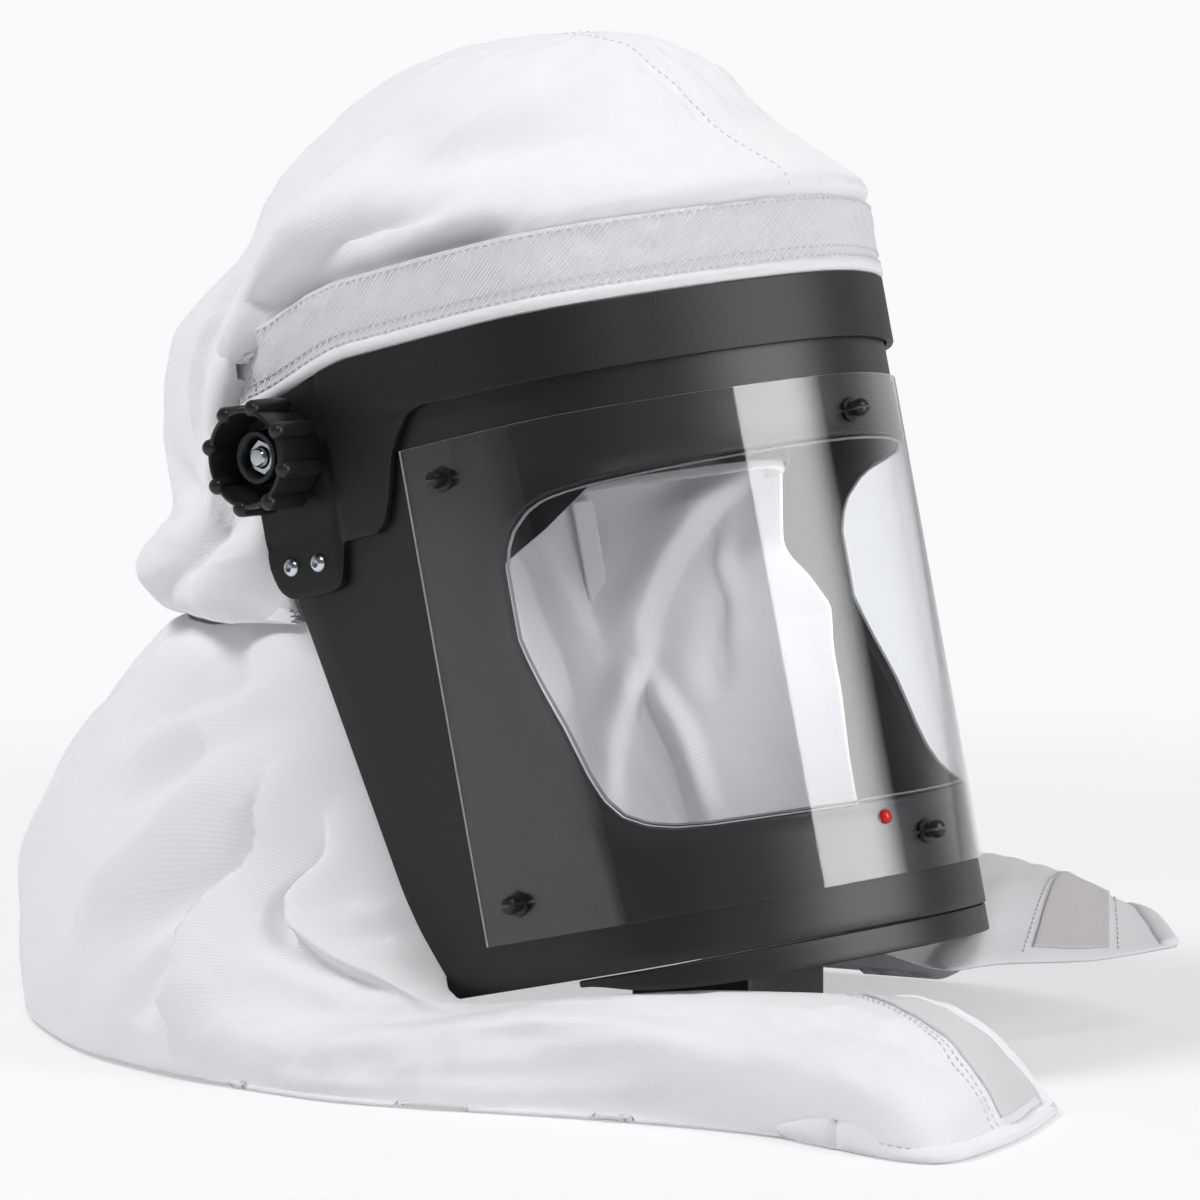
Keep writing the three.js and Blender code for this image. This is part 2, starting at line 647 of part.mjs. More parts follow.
function headHarness() {
  const low = HARNESS_TOP - HARNESS_HEIGHT;
  const clip = (bearing) => {
    const turn = Math.abs(bearing > 180 ? bearing - 360 : bearing);
    return HARNESS_CLIP_DROP * smooth(1 - Math.abs(turn - HARNESS_CLIP_TURN) / HARNESS_CLIP_SPREAD);
  };
  const ring = headRing(0, HARNESS_WALL, 0, 360, 32, (bearing) => (
    { low: low - clip(bearing), high: HARNESS_TOP }
  ));
  const parts = [ring];
  const armOut = -PLATE_WALL - GAP;
  const armIn = armOut - HARNESS_WALL;
  const root = arcAtForward(HARNESS_CENTRE + HARNESS_ARM_ROOT);
  for (const side of [-1, 1]) {
    const half = HARNESS_ARM_HEIGHT / 2;
    const rows = [root - 6, root + 6, KNOB_ARC + half].map((arc) => (
      { arc: side * arc, low: KNOB_LEVEL - half, high: KNOB_LEVEL + half }
    ));
    const arm = wallStrip(side < 0 ? rows.reverse() : rows, armIn, armOut);
    const bore = peg(BOLT_RADIUS + GAP, -20, 12).applyMatrix4(onWall(side * KNOB_ARC, KNOB_LEVEL, 0));
    parts.push(cut(arm, [bore]));
    const joint = wallPoint(side * root, armIn);
    const reach = Math.abs(joint.x) - HARNESS_HALF_WIDTH + 0.6;
    parts.push(box(reach, 0.9 * half, 0.8 * HARNESS_ARM_HEIGHT, joint.x - side * reach / 2 + side * 0.8,
      joint.y, 0));
  }
  return join(parts);
}

// Padded band round the front of the harness, wrapped under its lower edge
function sweatband() {
  const low = HARNESS_TOP - HARNESS_HEIGHT - SWEATBAND_DROP;
  const edges = () => ({ low, high: HARNESS_TOP - 1 });
  return headRing(-SWEATBAND_WALL - HARNESS_GAP, SWEATBAND_WALL,
    -SWEATBAND_HALF_TURN, SWEATBAND_HALF_TURN, 18, edges);
}

// Cloth laid out on a grid of points: rows run down each column, the wall lies to the inside
function clothSheet(grid, wall, wrap, flatFoot) {
  const columns = grid.length;
  const rows = grid[0].length;
  const at = (i, j) => {
    const k = wrap ? (i + columns) % columns : Math.min(Math.max(i, 0), columns - 1);
    return grid[k][Math.min(Math.max(j, 0), rows - 1)];
  };
  const outer = [];
  const inner = [];
  for (let i = 0; i < columns; i += 1) {
    for (let j = 0; j < rows; j += 1) {
      const along = at(i + 1, j).clone().sub(at(i - 1, j));
      const down = at(i, j + 1).clone().sub(at(i, j - 1));
      const out = new THREE.Vector3().crossVectors(along, down);
      if (flatFoot && j === rows - 1) out.z = 0;
      out.normalize();
      outer.push(...grid[i][j].toArray());
      inner.push(...grid[i][j].clone().addScaledVector(out, -wall).toArray());
    }
  }
  const faces = [];
  const half = columns * rows;
  const id = (i, j) => (i % columns) * rows + j;
  const last = wrap ? columns : columns - 1;
  for (let i = 0; i < last; i += 1) {
    for (let j = 0; j + 1 < rows; j += 1) {
      const [a, b, c, d] = [id(i, j), id(i + 1, j), id(i + 1, j + 1), id(i, j + 1)];
      faces.push(a, c, b, a, d, c, half + a, half + b, half + c, half + a, half + c, half + d);
    }
    const [a, b, c, d] = [id(i, 0), id(i + 1, 0), id(i + 1, rows - 1), id(i, rows - 1)];
    faces.push(a, b, half + b, a, half + b, half + a, d, half + c, c, d, half + d, half + c);
  }
  if (!wrap) {
    for (let j = 0; j + 1 < rows; j += 1) {
      const [a, d] = [id(0, j), id(0, j + 1)];
      const [b, c] = [id(columns - 1, j), id(columns - 1, j + 1)];
      faces.push(a, half + d, d, a, half + a, half + d, b, c, half + c, b, half + c, half + b);
    }
  }
  const g = new THREE.BufferGeometry();
  g.setAttribute('position', new THREE.Float32BufferAttribute([...outer, ...inner], 3));
  g.setIndex(faces);
  return closed(g);
}

// Crown sections from the hem up: level, half width and the ends towards face and nape, as shares
const crownRows = [
  { turn: 0, level: 0.03, side: 0.86, face: -0.46, nape: 0.84 },
  { turn: 0.05, level: 0, side: 0.93, face: -0.46, nape: 0.905 },
  { turn: 0.1, level: 0.02, side: 0.98, face: -0.46, nape: 0.966 },
  { turn: 0.16, level: 0.075, side: 1, face: -0.46, nape: 1 },
  { turn: 0.22, level: 0.125, side: 0.975, face: -0.46, nape: 0.966 },
  { turn: 0.27, level: 0.17, side: 0.95, face: -0.46, nape: 0.927 },
  { turn: 0.36, level: 0.28, side: 0.96, face: -0.468, nape: 0.943 },
  { turn: 0.46, level: 0.41, side: 0.958, face: -0.472, nape: 0.952 },
  { turn: 0.54, level: 0.52, side: 0.935, face: -0.466, nape: 0.89 },
  { turn: 0.62, level: 0.62, side: 0.885, face: -0.44, nape: 0.775 },
  { turn: 0.7, level: 0.715, side: 0.815, face: -0.39, nape: 0.715 },
  { turn: 0.78, level: 0.81, side: 0.68, face: -0.29, nape: 0.63 },
  { turn: 0.86, level: 0.895, side: 0.53, face: -0.195, nape: 0.515 },
  { turn: 0.93, level: 0.96, side: 0.36, face: -0.095, nape: 0.37 },
  { turn: 0.98, level: 0.993, side: 0.17, face: -0.02, nape: 0.2 },
  { turn: 1, level: 1, side: 0.02, face: 0.055, nape: 0.08 },
];

// Large folds of the crown: bearing from the face, height, spread of both, slant and depth
const crownFolds = [
  { bearing: 128, level: 0.45, spread: 9, reach: 0.3, slant: -26, depth: 0.03 },
  { bearing: 116, level: 0.5, spread: 5, reach: 0.24, slant: -30, depth: -0.045 },
  { bearing: 100, level: 0.72, spread: 8, reach: 0.22, slant: -40, depth: 0.02 },
  { bearing: 150, level: 0.35, spread: 10, reach: 0.28, slant: -16, depth: -0.03 },
  { bearing: 172, level: 0.4, spread: 9, reach: 0.3, slant: 8, depth: 0.022 },
];

function foldShare(folds, bearing, level) {
  let share = 0;
  for (const fold of folds) {
    const along = (level - fold.level) / fold.reach;
    const across = (bearing - fold.bearing - fold.slant * along) / fold.spread;
    share += fold.depth * Math.exp(-across * across - along * along);
  }
  return share;
}

// Pulls the cloth in to the band's seam in front and to the frame's arms at the sides
function seatOnFrame(point, toFrame, toWorld) {
  const local = point.clone().applyMatrix4(toFrame);
  const seam = BAND_SEAM;
  const reach = Math.hypot(local.x, local.y);
  const bearing = Math.atan2(Math.abs(local.x), -local.y) * 180 / Math.PI;
  const forward = -local.y;
  const seat = BAND_GAP + CLOTH;
  if (forward > -ARM_BACK && local.z > seam - 30) {
    const near = 1 - smooth((local.z - seam) / 30);
    const fade = smooth((forward + ARM_BACK) / 24);
    const wall = forward > 0
      ? FRAME_HALF_WIDTH * column(sectionRows, 'bearing', 'reach', Math.min(bearing, 90)) + seat
      : Math.hypot(FRAME_HALF_WIDTH + CHEEK_TAPER * forward + seat, forward);
    const scale = lerp(1, wall / reach, near * fade);
    local.x *= scale;
    local.y *= scale;
  }
  if (local.z < seam + 12) {
    const knob = Math.hypot(local.y - wallPoint(KNOB_ARC).y, local.z - KNOB_LEVEL);
    const clear = smooth((knob - KNOB_RADIUS - KNOB_LOBE_RADIUS - KNOB_CLEARANCE) / 14);
    const past = smooth((-forward - ARM_BACK + 6) / 26) * clear;
    const wall = FRAME_HALF_WIDTH - CHEEK_TAPER * ARM_BACK + BAND_GAP;
    const low = 1 - smooth((local.z - seam) / 12);
    const side = Math.sign(local.x);
    if (Math.abs(local.x) > wall) local.x = lerp(local.x, side * wall, (1 - past) * low);
  }
  return local.applyMatrix4(toWorld);
}

const CROWN_COLUMNS = 42;

function crownPoint(bearing, turn) {
  const value = (name) => column(crownRows, 'turn', name, turn);
  const level = value('level');
  const half = CROWN_HALF_WIDTH * value('side');
  const face = CROWN_REAR * value('face');
  const nape = CROWN_REAR * value('nape');
  const angle = bearing * Math.PI / 180;
  const folded = 1 + foldShare(crownFolds, Math.abs(bearing), level) * smooth(turn / 0.3);
  const mid = (face + nape) / 2;
  return new THREE.Vector3(half * Math.sin(angle) * folded,
    mid - (nape - face) / 2 * Math.cos(angle) * folded,
    CROWN_HEM_LEVEL + CROWN_RISE * level);
}

function hoodCrown() {
  const toWorld = frameMatrix();
  const toFrame = toWorld.clone().invert();
  const rows = 14;
  const grid = [];
  for (let i = 0; i < CROWN_COLUMNS; i += 1) {
    const bearing = 180 - 360 * (i + 0.5) / CROWN_COLUMNS;
    const points = [];
    for (let j = 0; j <= rows; j += 1) {
      points.push(seatOnFrame(crownPoint(bearing, 1 - j / rows), toFrame, toWorld));
    }
    grid.push(points);
  }
  const shell = capped(grid, CLOTH);
  const seam = BAND_SEAM + GAP;
  const [deep, wide] = [0.7 * PLATE_HEIGHT, 0.4 * FRAME_HALF_WIDTH];
  const below = box(2 * PLATE_HEIGHT, 2 * PLATE_HEIGHT, 2 * PLATE_HEIGHT, 0,
    wide / 2 - PLATE_HEIGHT, seam - PLATE_HEIGHT).applyMatrix4(toWorld);
  const cheek = rearStations(seam, -deep).map((row) => ({ ...row, low: -deep }));
  const beside = [-1, 1].flatMap((side) => {
    const turn = (rows) => (side < 0 ? rows.map((row) => ({ ...row, arc: -row.arc })).reverse() : rows);
    const start = { arc: WINDOW_HALF_ARC + CROWN_CUT_FORE, low: -deep, high: seam };
    const past = ARM_REAR_ARC - ARM_PAST_KNOB / 2;
    const stop = { arc: past, low: -deep, high: seam + GAP - rearDroop(past) };
    const end = [...cheek.slice(1, 4), { ...cheek[4], arc: ARM_REAR_ARC + 2 }];
    return [
      wallStrip(turn([start, ...cheek.slice(0, 4), stop]), -wide, wide),
      wallStrip(turn(end.map((row) => ({ ...row, low: -deep / 2 }))), -wide, BAND_GAP + CLOTH + 0.6),
    ];
  });
  return cut(shell, [below, ...beside.map((cutter) => cutter.applyMatrix4(toWorld))]);
}

// A cloth dome: the first row of every column closes to one point at the top
function capped(grid, wall) {
  const columns = grid.length;
  const rows = grid[0].length;
  const top = new THREE.Vector3();
  for (const points of grid) top.add(points[0]);
  top.divideScalar(columns);
  const at = (i, j) => (j === 0 ? top : grid[(i + columns) % columns][Math.min(j, rows - 1)]);
  const positions = [...top.toArray(), top.x, top.y, top.z - wall];
  const id = (i, j) => 2 + 2 * ((i % columns) * (rows - 1) + j - 1);
  for (let i = 0; i < columns; i += 1) {
    for (let j = 1; j < rows; j += 1) {
      const along = at(i + 1, j).clone().sub(at(i - 1, j));
      const down = at(i, j + 1).clone().sub(at(i, j - 1));
      const out = new THREE.Vector3().crossVectors(along, down).normalize();
      const inside = at(i, j).clone().addScaledVector(out, -wall);
      positions.push(...at(i, j).toArray(), ...inside.toArray());
    }
  }
  const faces = [];
  for (let i = 0; i < columns; i += 1) {
    faces.push(0, id(i + 1, 1), id(i, 1), 1, id(i, 1) + 1, id(i + 1, 1) + 1);
    for (let j = 1; j + 1 < rows; j += 1) {
      const [a, b, c, d] = [id(i, j), id(i + 1, j), id(i + 1, j + 1), id(i, j + 1)];
      faces.push(a, b, c, a, c, d, a + 1, c + 1, b + 1, a + 1, d + 1, c + 1);
    }
    const [c, d] = [id(i + 1, rows - 1), id(i, rows - 1)];
    faces.push(d, c, c + 1, d, c + 1, d + 1);
  }
  const g = new THREE.BufferGeometry();
  g.setAttribute('position', new THREE.Float32BufferAttribute(positions, 3));
  g.setIndex(faces);
  return closed(g);
}

// Sewn band above the brow band, and the smooth binding along its lower edge
function bandStrip(low, height, inner, wall) {
  const high = low + height;
  const end = rearStations(high, low);
  const front = roundFront(low, high, DROOP_START_ARC - 0.4 * DROOP_RUN, end);
  return wallStrip(bothSides(front), inner, inner + wall);
}

// Stations along the cheek whose edges dip with the arm's rear corner
function rearStations(high, low) {
  const stations = [];
  for (let i = 0; i <= 4; i += 1) {
    const arc = lerp(DROOP_START_ARC, ARM_REAR_ARC, i / 4);
    stations.push({ arc, low: low - rearDroop(arc), high: high - rearDroop(arc) });
  }
  return stations;
}

function crownBand() {
  return bandStrip(BROW_TOP + BINDING_HEIGHT, BAND_HEIGHT, BAND_GAP, CLOTH);
}

function edgeBinding() {
  return bandStrip(BROW_TOP + GAP, BINDING_HEIGHT - 2 * GAP, BAND_GAP - 0.4, CLOTH + 0.9);
}

// Cape stations from the right flap's end, round the nape, to the left flap's end.
// The neck line, nx and ny, and the hem, hx and hy, are shares of the cape's half width and of
// its rear and front reach.
// Level, foot and swell are shares of the crown's hem level: the height of the neck line, of the
// hem where it is lifted off the ground, and of the swell between; puff rounds the fall
const capeRows = [
  { go: 0, nx: -0.2, ny: -0.53, level: 0.215, hx: -0.17, hy: -0.79, foot: 0, swell: 0.03, puff: 0.1 },
  { go: 0.05, nx: -0.27, ny: -0.5, level: 0.235, hx: -0.5, hy: -0.855, foot: 0, swell: 0.03, puff: 0.3 },
  { go: 0.1, nx: -0.37, ny: -0.442, level: 0.245, hx: -0.8, hy: -0.85, foot: 0, swell: 0.04, puff: 0.5 },
  { go: 0.16, nx: -0.51, ny: -0.35, level: 0.25, hx: -0.755, hy: -0.58, foot: 0, swell: 0.05, puff: 0.9 },
  { go: 0.22, nx: -0.655, ny: -0.23, level: 0.235, hx: -0.82, hy: -0.34, foot: 0, swell: 0.05, puff: 1 },
  { go: 0.29, nx: -0.66, ny: -0.02, level: 0.2, hx: -0.99, hy: 0, foot: 0, swell: 0.03, puff: 1 },
  { go: 0.335, nx: -0.59, ny: 0.045, level: 0.32, hx: -1, hy: 0.15, foot: 0, swell: 0, puff: 1 },
  { go: 0.375, nx: -0.575, ny: 0.133, level: 0.62, hx: -0.97, hy: 0.34, foot: 0, swell: 0, puff: 1 },
  { go: 0.41, nx: -0.58, ny: 0.25, level: 1, hx: -0.86, hy: 0.55, foot: 0, swell: 0, puff: 1 },
  { go: 0.45, nx: -0.57, ny: 0.46, level: 1, hx: -0.58, hy: 0.8, foot: 0, swell: 0, puff: 1 },
  { go: 0.5, nx: -0.34, ny: 0.61, level: 1, hx: -0.26, hy: 0.95, foot: 0, swell: 0, puff: 1 },
  { go: 0.54, nx: 0, ny: 0.66, level: 1, hx: 0.08, hy: 0.95, foot: 0, swell: 0, puff: 1 },
  { go: 0.58, nx: 0.34, ny: 0.61, level: 1, hx: 0.44, hy: 0.88, foot: 0, swell: 0, puff: 1 },
  { go: 0.62, nx: 0.57, ny: 0.46, level: 1, hx: 0.76, hy: 0.73, foot: 0, swell: 0, puff: 1 },
  { go: 0.66, nx: 0.58, ny: 0.25, level: 1, hx: 0.95, hy: 0.53, foot: 0, swell: 0, puff: 1 },
  { go: 0.7, nx: 0.575, ny: 0.133, level: 0.62, hx: 1.07, hy: 0.32, foot: 0, swell: 0, puff: 1 },
  { go: 0.74, nx: 0.59, ny: 0.045, level: 0.32, hx: 1.14, hy: 0.13, foot: 0, swell: 0.05, puff: 1 },
  { go: 0.79, nx: 0.64, ny: -0.06, level: 0.21, hx: 1.19, hy: -0.03, foot: 0, swell: 0.13, puff: 0.8 },
  { go: 0.84, nx: 0.5, ny: -0.23, level: 0.19, hx: 1.22, hy: -0.13, foot: 0.1, swell: 0.19, puff: 0.6 },
  { go: 0.88, nx: 0.34, ny: -0.4, level: 0.2, hx: 1.22, hy: -0.2, foot: 0.2, swell: 0.16, puff: 0.5 },
  { go: 0.92, nx: 0.5, ny: -0.445, level: 0.2, hx: 1.21, hy: -0.26, foot: 0.22, swell: 0.14, puff: 0.5 },
  { go: 0.96, nx: 0.75, ny: -0.495, level: 0.185, hx: 1.2, hy: -0.33, foot: 0.21, swell: 0.1, puff: 0.4 },
  { go: 1, nx: 1.0, ny: -0.535, level: 0.195, hx: 1.17, hy: -0.4, foot: 0.21, swell: 0.04, puff: 0.3 },
];

// Large folds of the cape: each runs from one place to another, ridges lifted and hollows sunk
const capeFolds = [
  { go: 0.425, down: 0.3, goEnd: 0.4, downEnd: 0.16, width: 15, lift: -4 },
  { go: 0.425, down: 0.7, goEnd: 0.395, downEnd: 0.2, width: 18, lift: 7 },
  { go: 0.402, down: 0.66, goEnd: 0.38, downEnd: 0.16, width: 17, lift: -9 },
  { go: 0.388, down: 0.74, goEnd: 0.374, downEnd: 0.32, width: 14, lift: 6 },
  { go: 0.365, down: 0.46, goEnd: 0.356, downEnd: 0.12, width: 16, lift: -9 },
  { go: 0.345, down: 0.14, goEnd: 0.325, downEnd: 0.28, width: 16, lift: 7 },
  { go: 0.32, down: 0.5, goEnd: 0.22, downEnd: 0.38, width: 14, lift: -3 },
  { go: 0.3, down: 0.68, goEnd: 0.15, downEnd: 0.62, width: 18, lift: 4 },
  { go: 0.48, down: 0.15, goEnd: 0.5, downEnd: 0.8, width: 18, lift: -6 },
  { go: 0.56, down: 0.2, goEnd: 0.565, downEnd: 0.85, width: 18, lift: 6 },
  { go: 0.61, down: 0.15, goEnd: 0.6, downEnd: 0.75, width: 16, lift: -6 },
  { go: 0.68, down: 0.2, goEnd: 0.66, downEnd: 0.7, width: 16, lift: 5 },
  { go: 0.725, down: 0.3, goEnd: 0.73, downEnd: 0.65, width: 16, lift: -4 },
];

// How far the folds push the cloth out at a place on the cape
function capeFold(go, down) {
  let lift = 0;
  for (const fold of capeFolds) {
    const start = new THREE.Vector2(fold.go * CAPE_RUN, fold.down * CAPE_FALL);
    const run = new THREE.Vector2(fold.goEnd * CAPE_RUN, fold.downEnd * CAPE_FALL).sub(start);
    const place = new THREE.Vector2(go * CAPE_RUN, down * CAPE_FALL).sub(start);
    const t = Math.min(1, Math.max(0, place.dot(run) / run.lengthSq()));
    const away = place.distanceTo(run.multiplyScalar(t)) / fold.width;
    lift += fold.lift * Math.exp(-away * away);
  }
  return lift * smooth(down / 0.2) * smooth((1 - down) / 0.12);
}

// How the cloth falls from neck to hem: share of the drop against share of the spread
const fallRows = [
  { down: 0, drop: 0, out: 0 },
  { down: 0.12, drop: 0.05, out: 0.2 },
  { down: 0.25, drop: 0.15, out: 0.4 },
  { down: 0.38, drop: 0.27, out: 0.6 },
  { down: 0.5, drop: 0.4, out: 0.76 },
  { down: 0.65, drop: 0.58, out: 0.93 },
  { down: 0.8, drop: 0.76, out: 1.02 },
  { down: 0.92, drop: 0.92, out: 1.02 },
  { down: 1, drop: 1, out: 1 },
];

function capePoint(go, down) {
  const value = (name) => column(capeRows, 'go', name, go);
  const front = (share) => (share < 0 ? CAPE_FRONT * share / 0.855 : CAPE_REAR * share / 0.97);
  const neck = new THREE.Vector2(CAPE_HALF_WIDTH * value('nx'), front(value('ny')));
  const hem = new THREE.Vector2(CAPE_HALF_WIDTH * value('hx'), front(value('hy')));
  const neckLevel = (CROWN_HEM_LEVEL - CAPE_NECK_DROP) * value('level');
  const foot = CROWN_HEM_LEVEL * value('foot');
  const puff = value('puff');
  const drop = column(fallRows, 'down', 'drop', down);
  const out = lerp(down, column(fallRows, 'down', 'out', down), puff);
  const swell = CROWN_HEM_LEVEL * value('swell') * Math.sin(Math.PI * down);
  const fold = capeFold(go, down);
  const spread = hem.clone().sub(neck).normalize().multiplyScalar(fold);
  return new THREE.Vector3(lerp(neck.x, hem.x, out) + spread.x, lerp(neck.y, hem.y, out) + spread.y,
    Math.max(0, lerp(neckLevel, foot, lerp(down * down, drop, puff)) + swell + 0.4 * fold));
}

function neckCape() {
  const columns = 56;
  const rows = 7;
  const grid = [];
  for (let i = 0; i <= columns; i += 1) {
    const points = [];
    for (let j = 0; j <= rows; j += 1) points.push(capePoint(i / columns, j / rows));
    grid.push(points);
  }
  const toWorld = frameMatrix();
  const sheet = clothSheet(grid, CLOTH, false, true);
  const plate = wallStrip(plateStations(GAP), -4 * PLATE_WALL, GAP).applyMatrix4(toWorld);
  const level = PLATE_TOP - PLATE_HEIGHT - CHIN_LIP_HEIGHT;
  const rounds = bothSides(roundFront(level - 2 * GAP, level + CHIN_BLOCK_DEPTH, WINDOW_HALF_ARC));
  const lip = wallStrip(rounds, -CHIN_BLOCK_DEPTH, GAP);
  const above = box(3 * CAPE_REAR, 3 * CAPE_REAR, CROWN_RISE, 0, 0,
    CROWN_HEM_LEVEL + (CROWN_RISE - CAPE_NECK_DROP) / 2);
  return cut(sheet, [plate, lip.applyMatrix4(toWorld), above]);
}

// A strip of fastening tape lying on the cape between two stations and two places down the fall
function fasteningPatch(from, to, top, bottom) {
  const [columns, rows] = [3, 6];
  const step = 0.004;
  const grid = [];
  for (let i = 0; i <= columns; i += 1) {
    const points = [];
    for (let j = 0; j <= rows; j += 1) {
      const [go, down] = [lerp(from, to, i / columns), lerp(top, bottom, j / rows)];
      const point = capePoint(go, down);
      const along = capePoint(go + step, down).sub(capePoint(go - step, down));
      const fall = capePoint(go, down + step).sub(capePoint(go, down - step));
      const out = new THREE.Vector3().crossVectors(along, fall).normalize();
      points.push(point.addScaledVector(out, PATCH_LIFT + PATCH_WALL));
    }
    grid.push(points);
  }
  return clothSheet(grid, PATCH_WALL, false, false);
}

// Front edge of the inner neck cloth on the wearer's left: turn round the head at each level
const innerEdgeRows = [
  { below: 0, turn: 62 },
  { below: 0.33, turn: 64 },
  { below: 0.63, turn: 86 },
  { below: 0.75, turn: 93 },
  { below: 1, turn: 84 },
];

// Loose folds of the inner neck cloth: turn round the head, level, spread, reach and depth
const innerFolds = [
  { bearing: 100, level: 0.42, spread: 9, reach: 0.3, slant: -14, depth: 0.09 },
  { bearing: 118, level: 0.6, spread: 8, reach: 0.35, slant: 12, depth: -0.08 },
  { bearing: 145, level: 0.35, spread: 13, reach: 0.3, slant: -10, depth: -0.06 },
  { bearing: 170, level: 0.55, spread: 12, reach: 0.4, slant: 8, depth: 0.05 },
];

function innerCloth() {
  const [columns, rows] = [16, 6];
  const grid = [];
  for (let i = 0; i <= columns; i += 1) {
    const points = [];
    for (let j = 0; j <= rows; j += 1) {
      const below = j / rows;
      const turn = lerp(INNER_CLOTH_END, column(innerEdgeRows, 'below', 'turn', below), i / columns);
      const inset = INNER_CLOTH_GAP + INNER_CLOTH_INSET * smooth(below / 0.35);
      const fold = 1 - foldShare(innerFolds, turn, below) * smooth(below / 0.3);
      const angle = turn * Math.PI / 180;
      points.push(new THREE.Vector3((HARNESS_HALF_WIDTH - inset) * fold * Math.sin(angle),
        -HARNESS_CENTRE - (HARNESS_HALF_LENGTH - inset) * fold * Math.cos(angle),
        INNER_CLOTH_TOP - INNER_CLOTH_DROP * below));
    }
    grid.push(points);
  }
  return clothSheet(grid, INNER_CLOTH_WALL, false, false);
}

// Narrow tape that hangs from the harness in front of the inner cloth
function hangingTape() {
  const angle = TAPE_TURN * Math.PI / 180;
  const inset = INNER_CLOTH_GAP + INNER_CLOTH_INSET + INNER_CLOTH_WALL + TAPE_WALL / 2 + 2 * GAP;
  const tape = box(TAPE_WIDTH, TAPE_WALL, TAPE_LENGTH, 0, 0, -TAPE_LENGTH / 2);
  tape.rotateZ(angle);
  const top = HARNESS_TOP - HARNESS_HEIGHT + 4;
  return tape.translate((HARNESS_HALF_WIDTH - inset) * Math.sin(angle),
    -HARNESS_CENTRE - (HARNESS_HALF_LENGTH - inset) * Math.cos(angle), top);
}

const group = new THREE.Group();
const hood = new THREE.Group();
const frame = new THREE.Group();
frame.applyMatrix4(frameMatrix());
hood.add(frame);
group.add(hood);

function add(parent, name, geometry, material, matrix) {
  const mesh = new THREE.Mesh(closed(geometry), new THREE.MeshStandardMaterial(materials[material]));
  mesh.name = name;
  if (matrix) mesh.applyMatrix4(matrix);
  parent.add(mesh);
  return mesh;
}

// The face frame, from the plate outwards
add(frame, 'face_plate', facePlate(), 'framePlastic');
add(frame, 'brow_band', browBand(), 'browPlastic');
add(frame, 'chin_bar', chinBar(), 'framePlastic');
add(frame, 'visor_film', visorFilm(), 'clearFilm');
add(frame, 'indicator_bead', indicatorBead(), 'redPlastic', onWall(-BEAD_ARC, BEAD_LEVEL, 0));
for (const { name, arc, level } of studPlaces()) {
  add(frame, `snap_stud_${name}`, snapStud(), 'blackPlastic', onWall(arc, level, 0));
}
for (const [side, name] of [[-1, 'right'], [1, 'left']]) {
  const pivot = onWall(side * KNOB_ARC, KNOB_LEVEL, 0);
  const stack = GAP + BROW_WALL + GAP;
  const raised = (height) => pivot.clone().multiply(new THREE.Matrix4().makeTranslation(0, 0, height));
  const inside = PLATE_WALL + GAP + HARNESS_WALL + GAP;
  add(frame, `clamp_knob_${name}`, clampKnob(), 'blackPlastic', raised(stack));
  add(frame, `pivot_bolt_${name}`, pivotBolt(inside), 'zinc', pivot);
  add(frame, `pivot_nut_${name}`, hexNut(), 'zinc', raised(stack + KNOB_HEIGHT - KNOB_CUP_DEPTH + GAP));
  for (const { name: place, back, low } of screwRows) {
    const seat = onWall(side * back * ARM_REAR_ARC, BROW_TOP - ARM_DROP * low, stack);
    add(frame, `tab_screw_${place}_${name}`, buttonScrew(), 'zinc', seat);
  }
}

// The harness that sits on the wearer's head
add(frame, 'head_harness', headHarness(), 'blackPlastic');
add(frame, 'sweatband', sweatband(), 'sweatbandGrey');

// The cloth
add(frame, 'crown_band', crownBand(), 'bandTwill');
add(frame, 'edge_binding', edgeBinding(), 'binding');
add(hood, 'hood_crown', hoodCrown(), 'clothWhite');
add(hood, 'neck_cape', neckCape(), 'clothWhite');
add(hood, 'chin_block', chinBlock(), 'blackPlastic');
add(hood, 'hook_patch', fasteningPatch(0.012, 0.05, 0.06, 0.9), 'hookTape');
add(hood, 'loop_patch', fasteningPatch(0.93, 0.965, 0.06, 0.9), 'loopPile');
add(frame, 'inner_cloth', innerCloth(), 'clothWhite');
add(frame, 'hanging_tape', hangingTape(), 'binding');

// Origin at the middle of the footprint, on the surface the hood stands on
hood.updateMatrixWorld(true);
const bounds = new THREE.Box3().setFromObject(hood, true);
const middle = bounds.getCenter(new THREE.Vector3());
hood.position.set(-middle.x, -middle.y, -bounds.min.z);

export default group;
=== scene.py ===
# Looks for a powered-air respirator hood: black face frame, clear film, white cloth hood and cape.
# Sizes are in millimetres in the frame's own axes, across, back and up, unless a line says otherwise.
import json
import math

import bmesh
import bpy
import numpy as np
from mathutils import Matrix, Vector


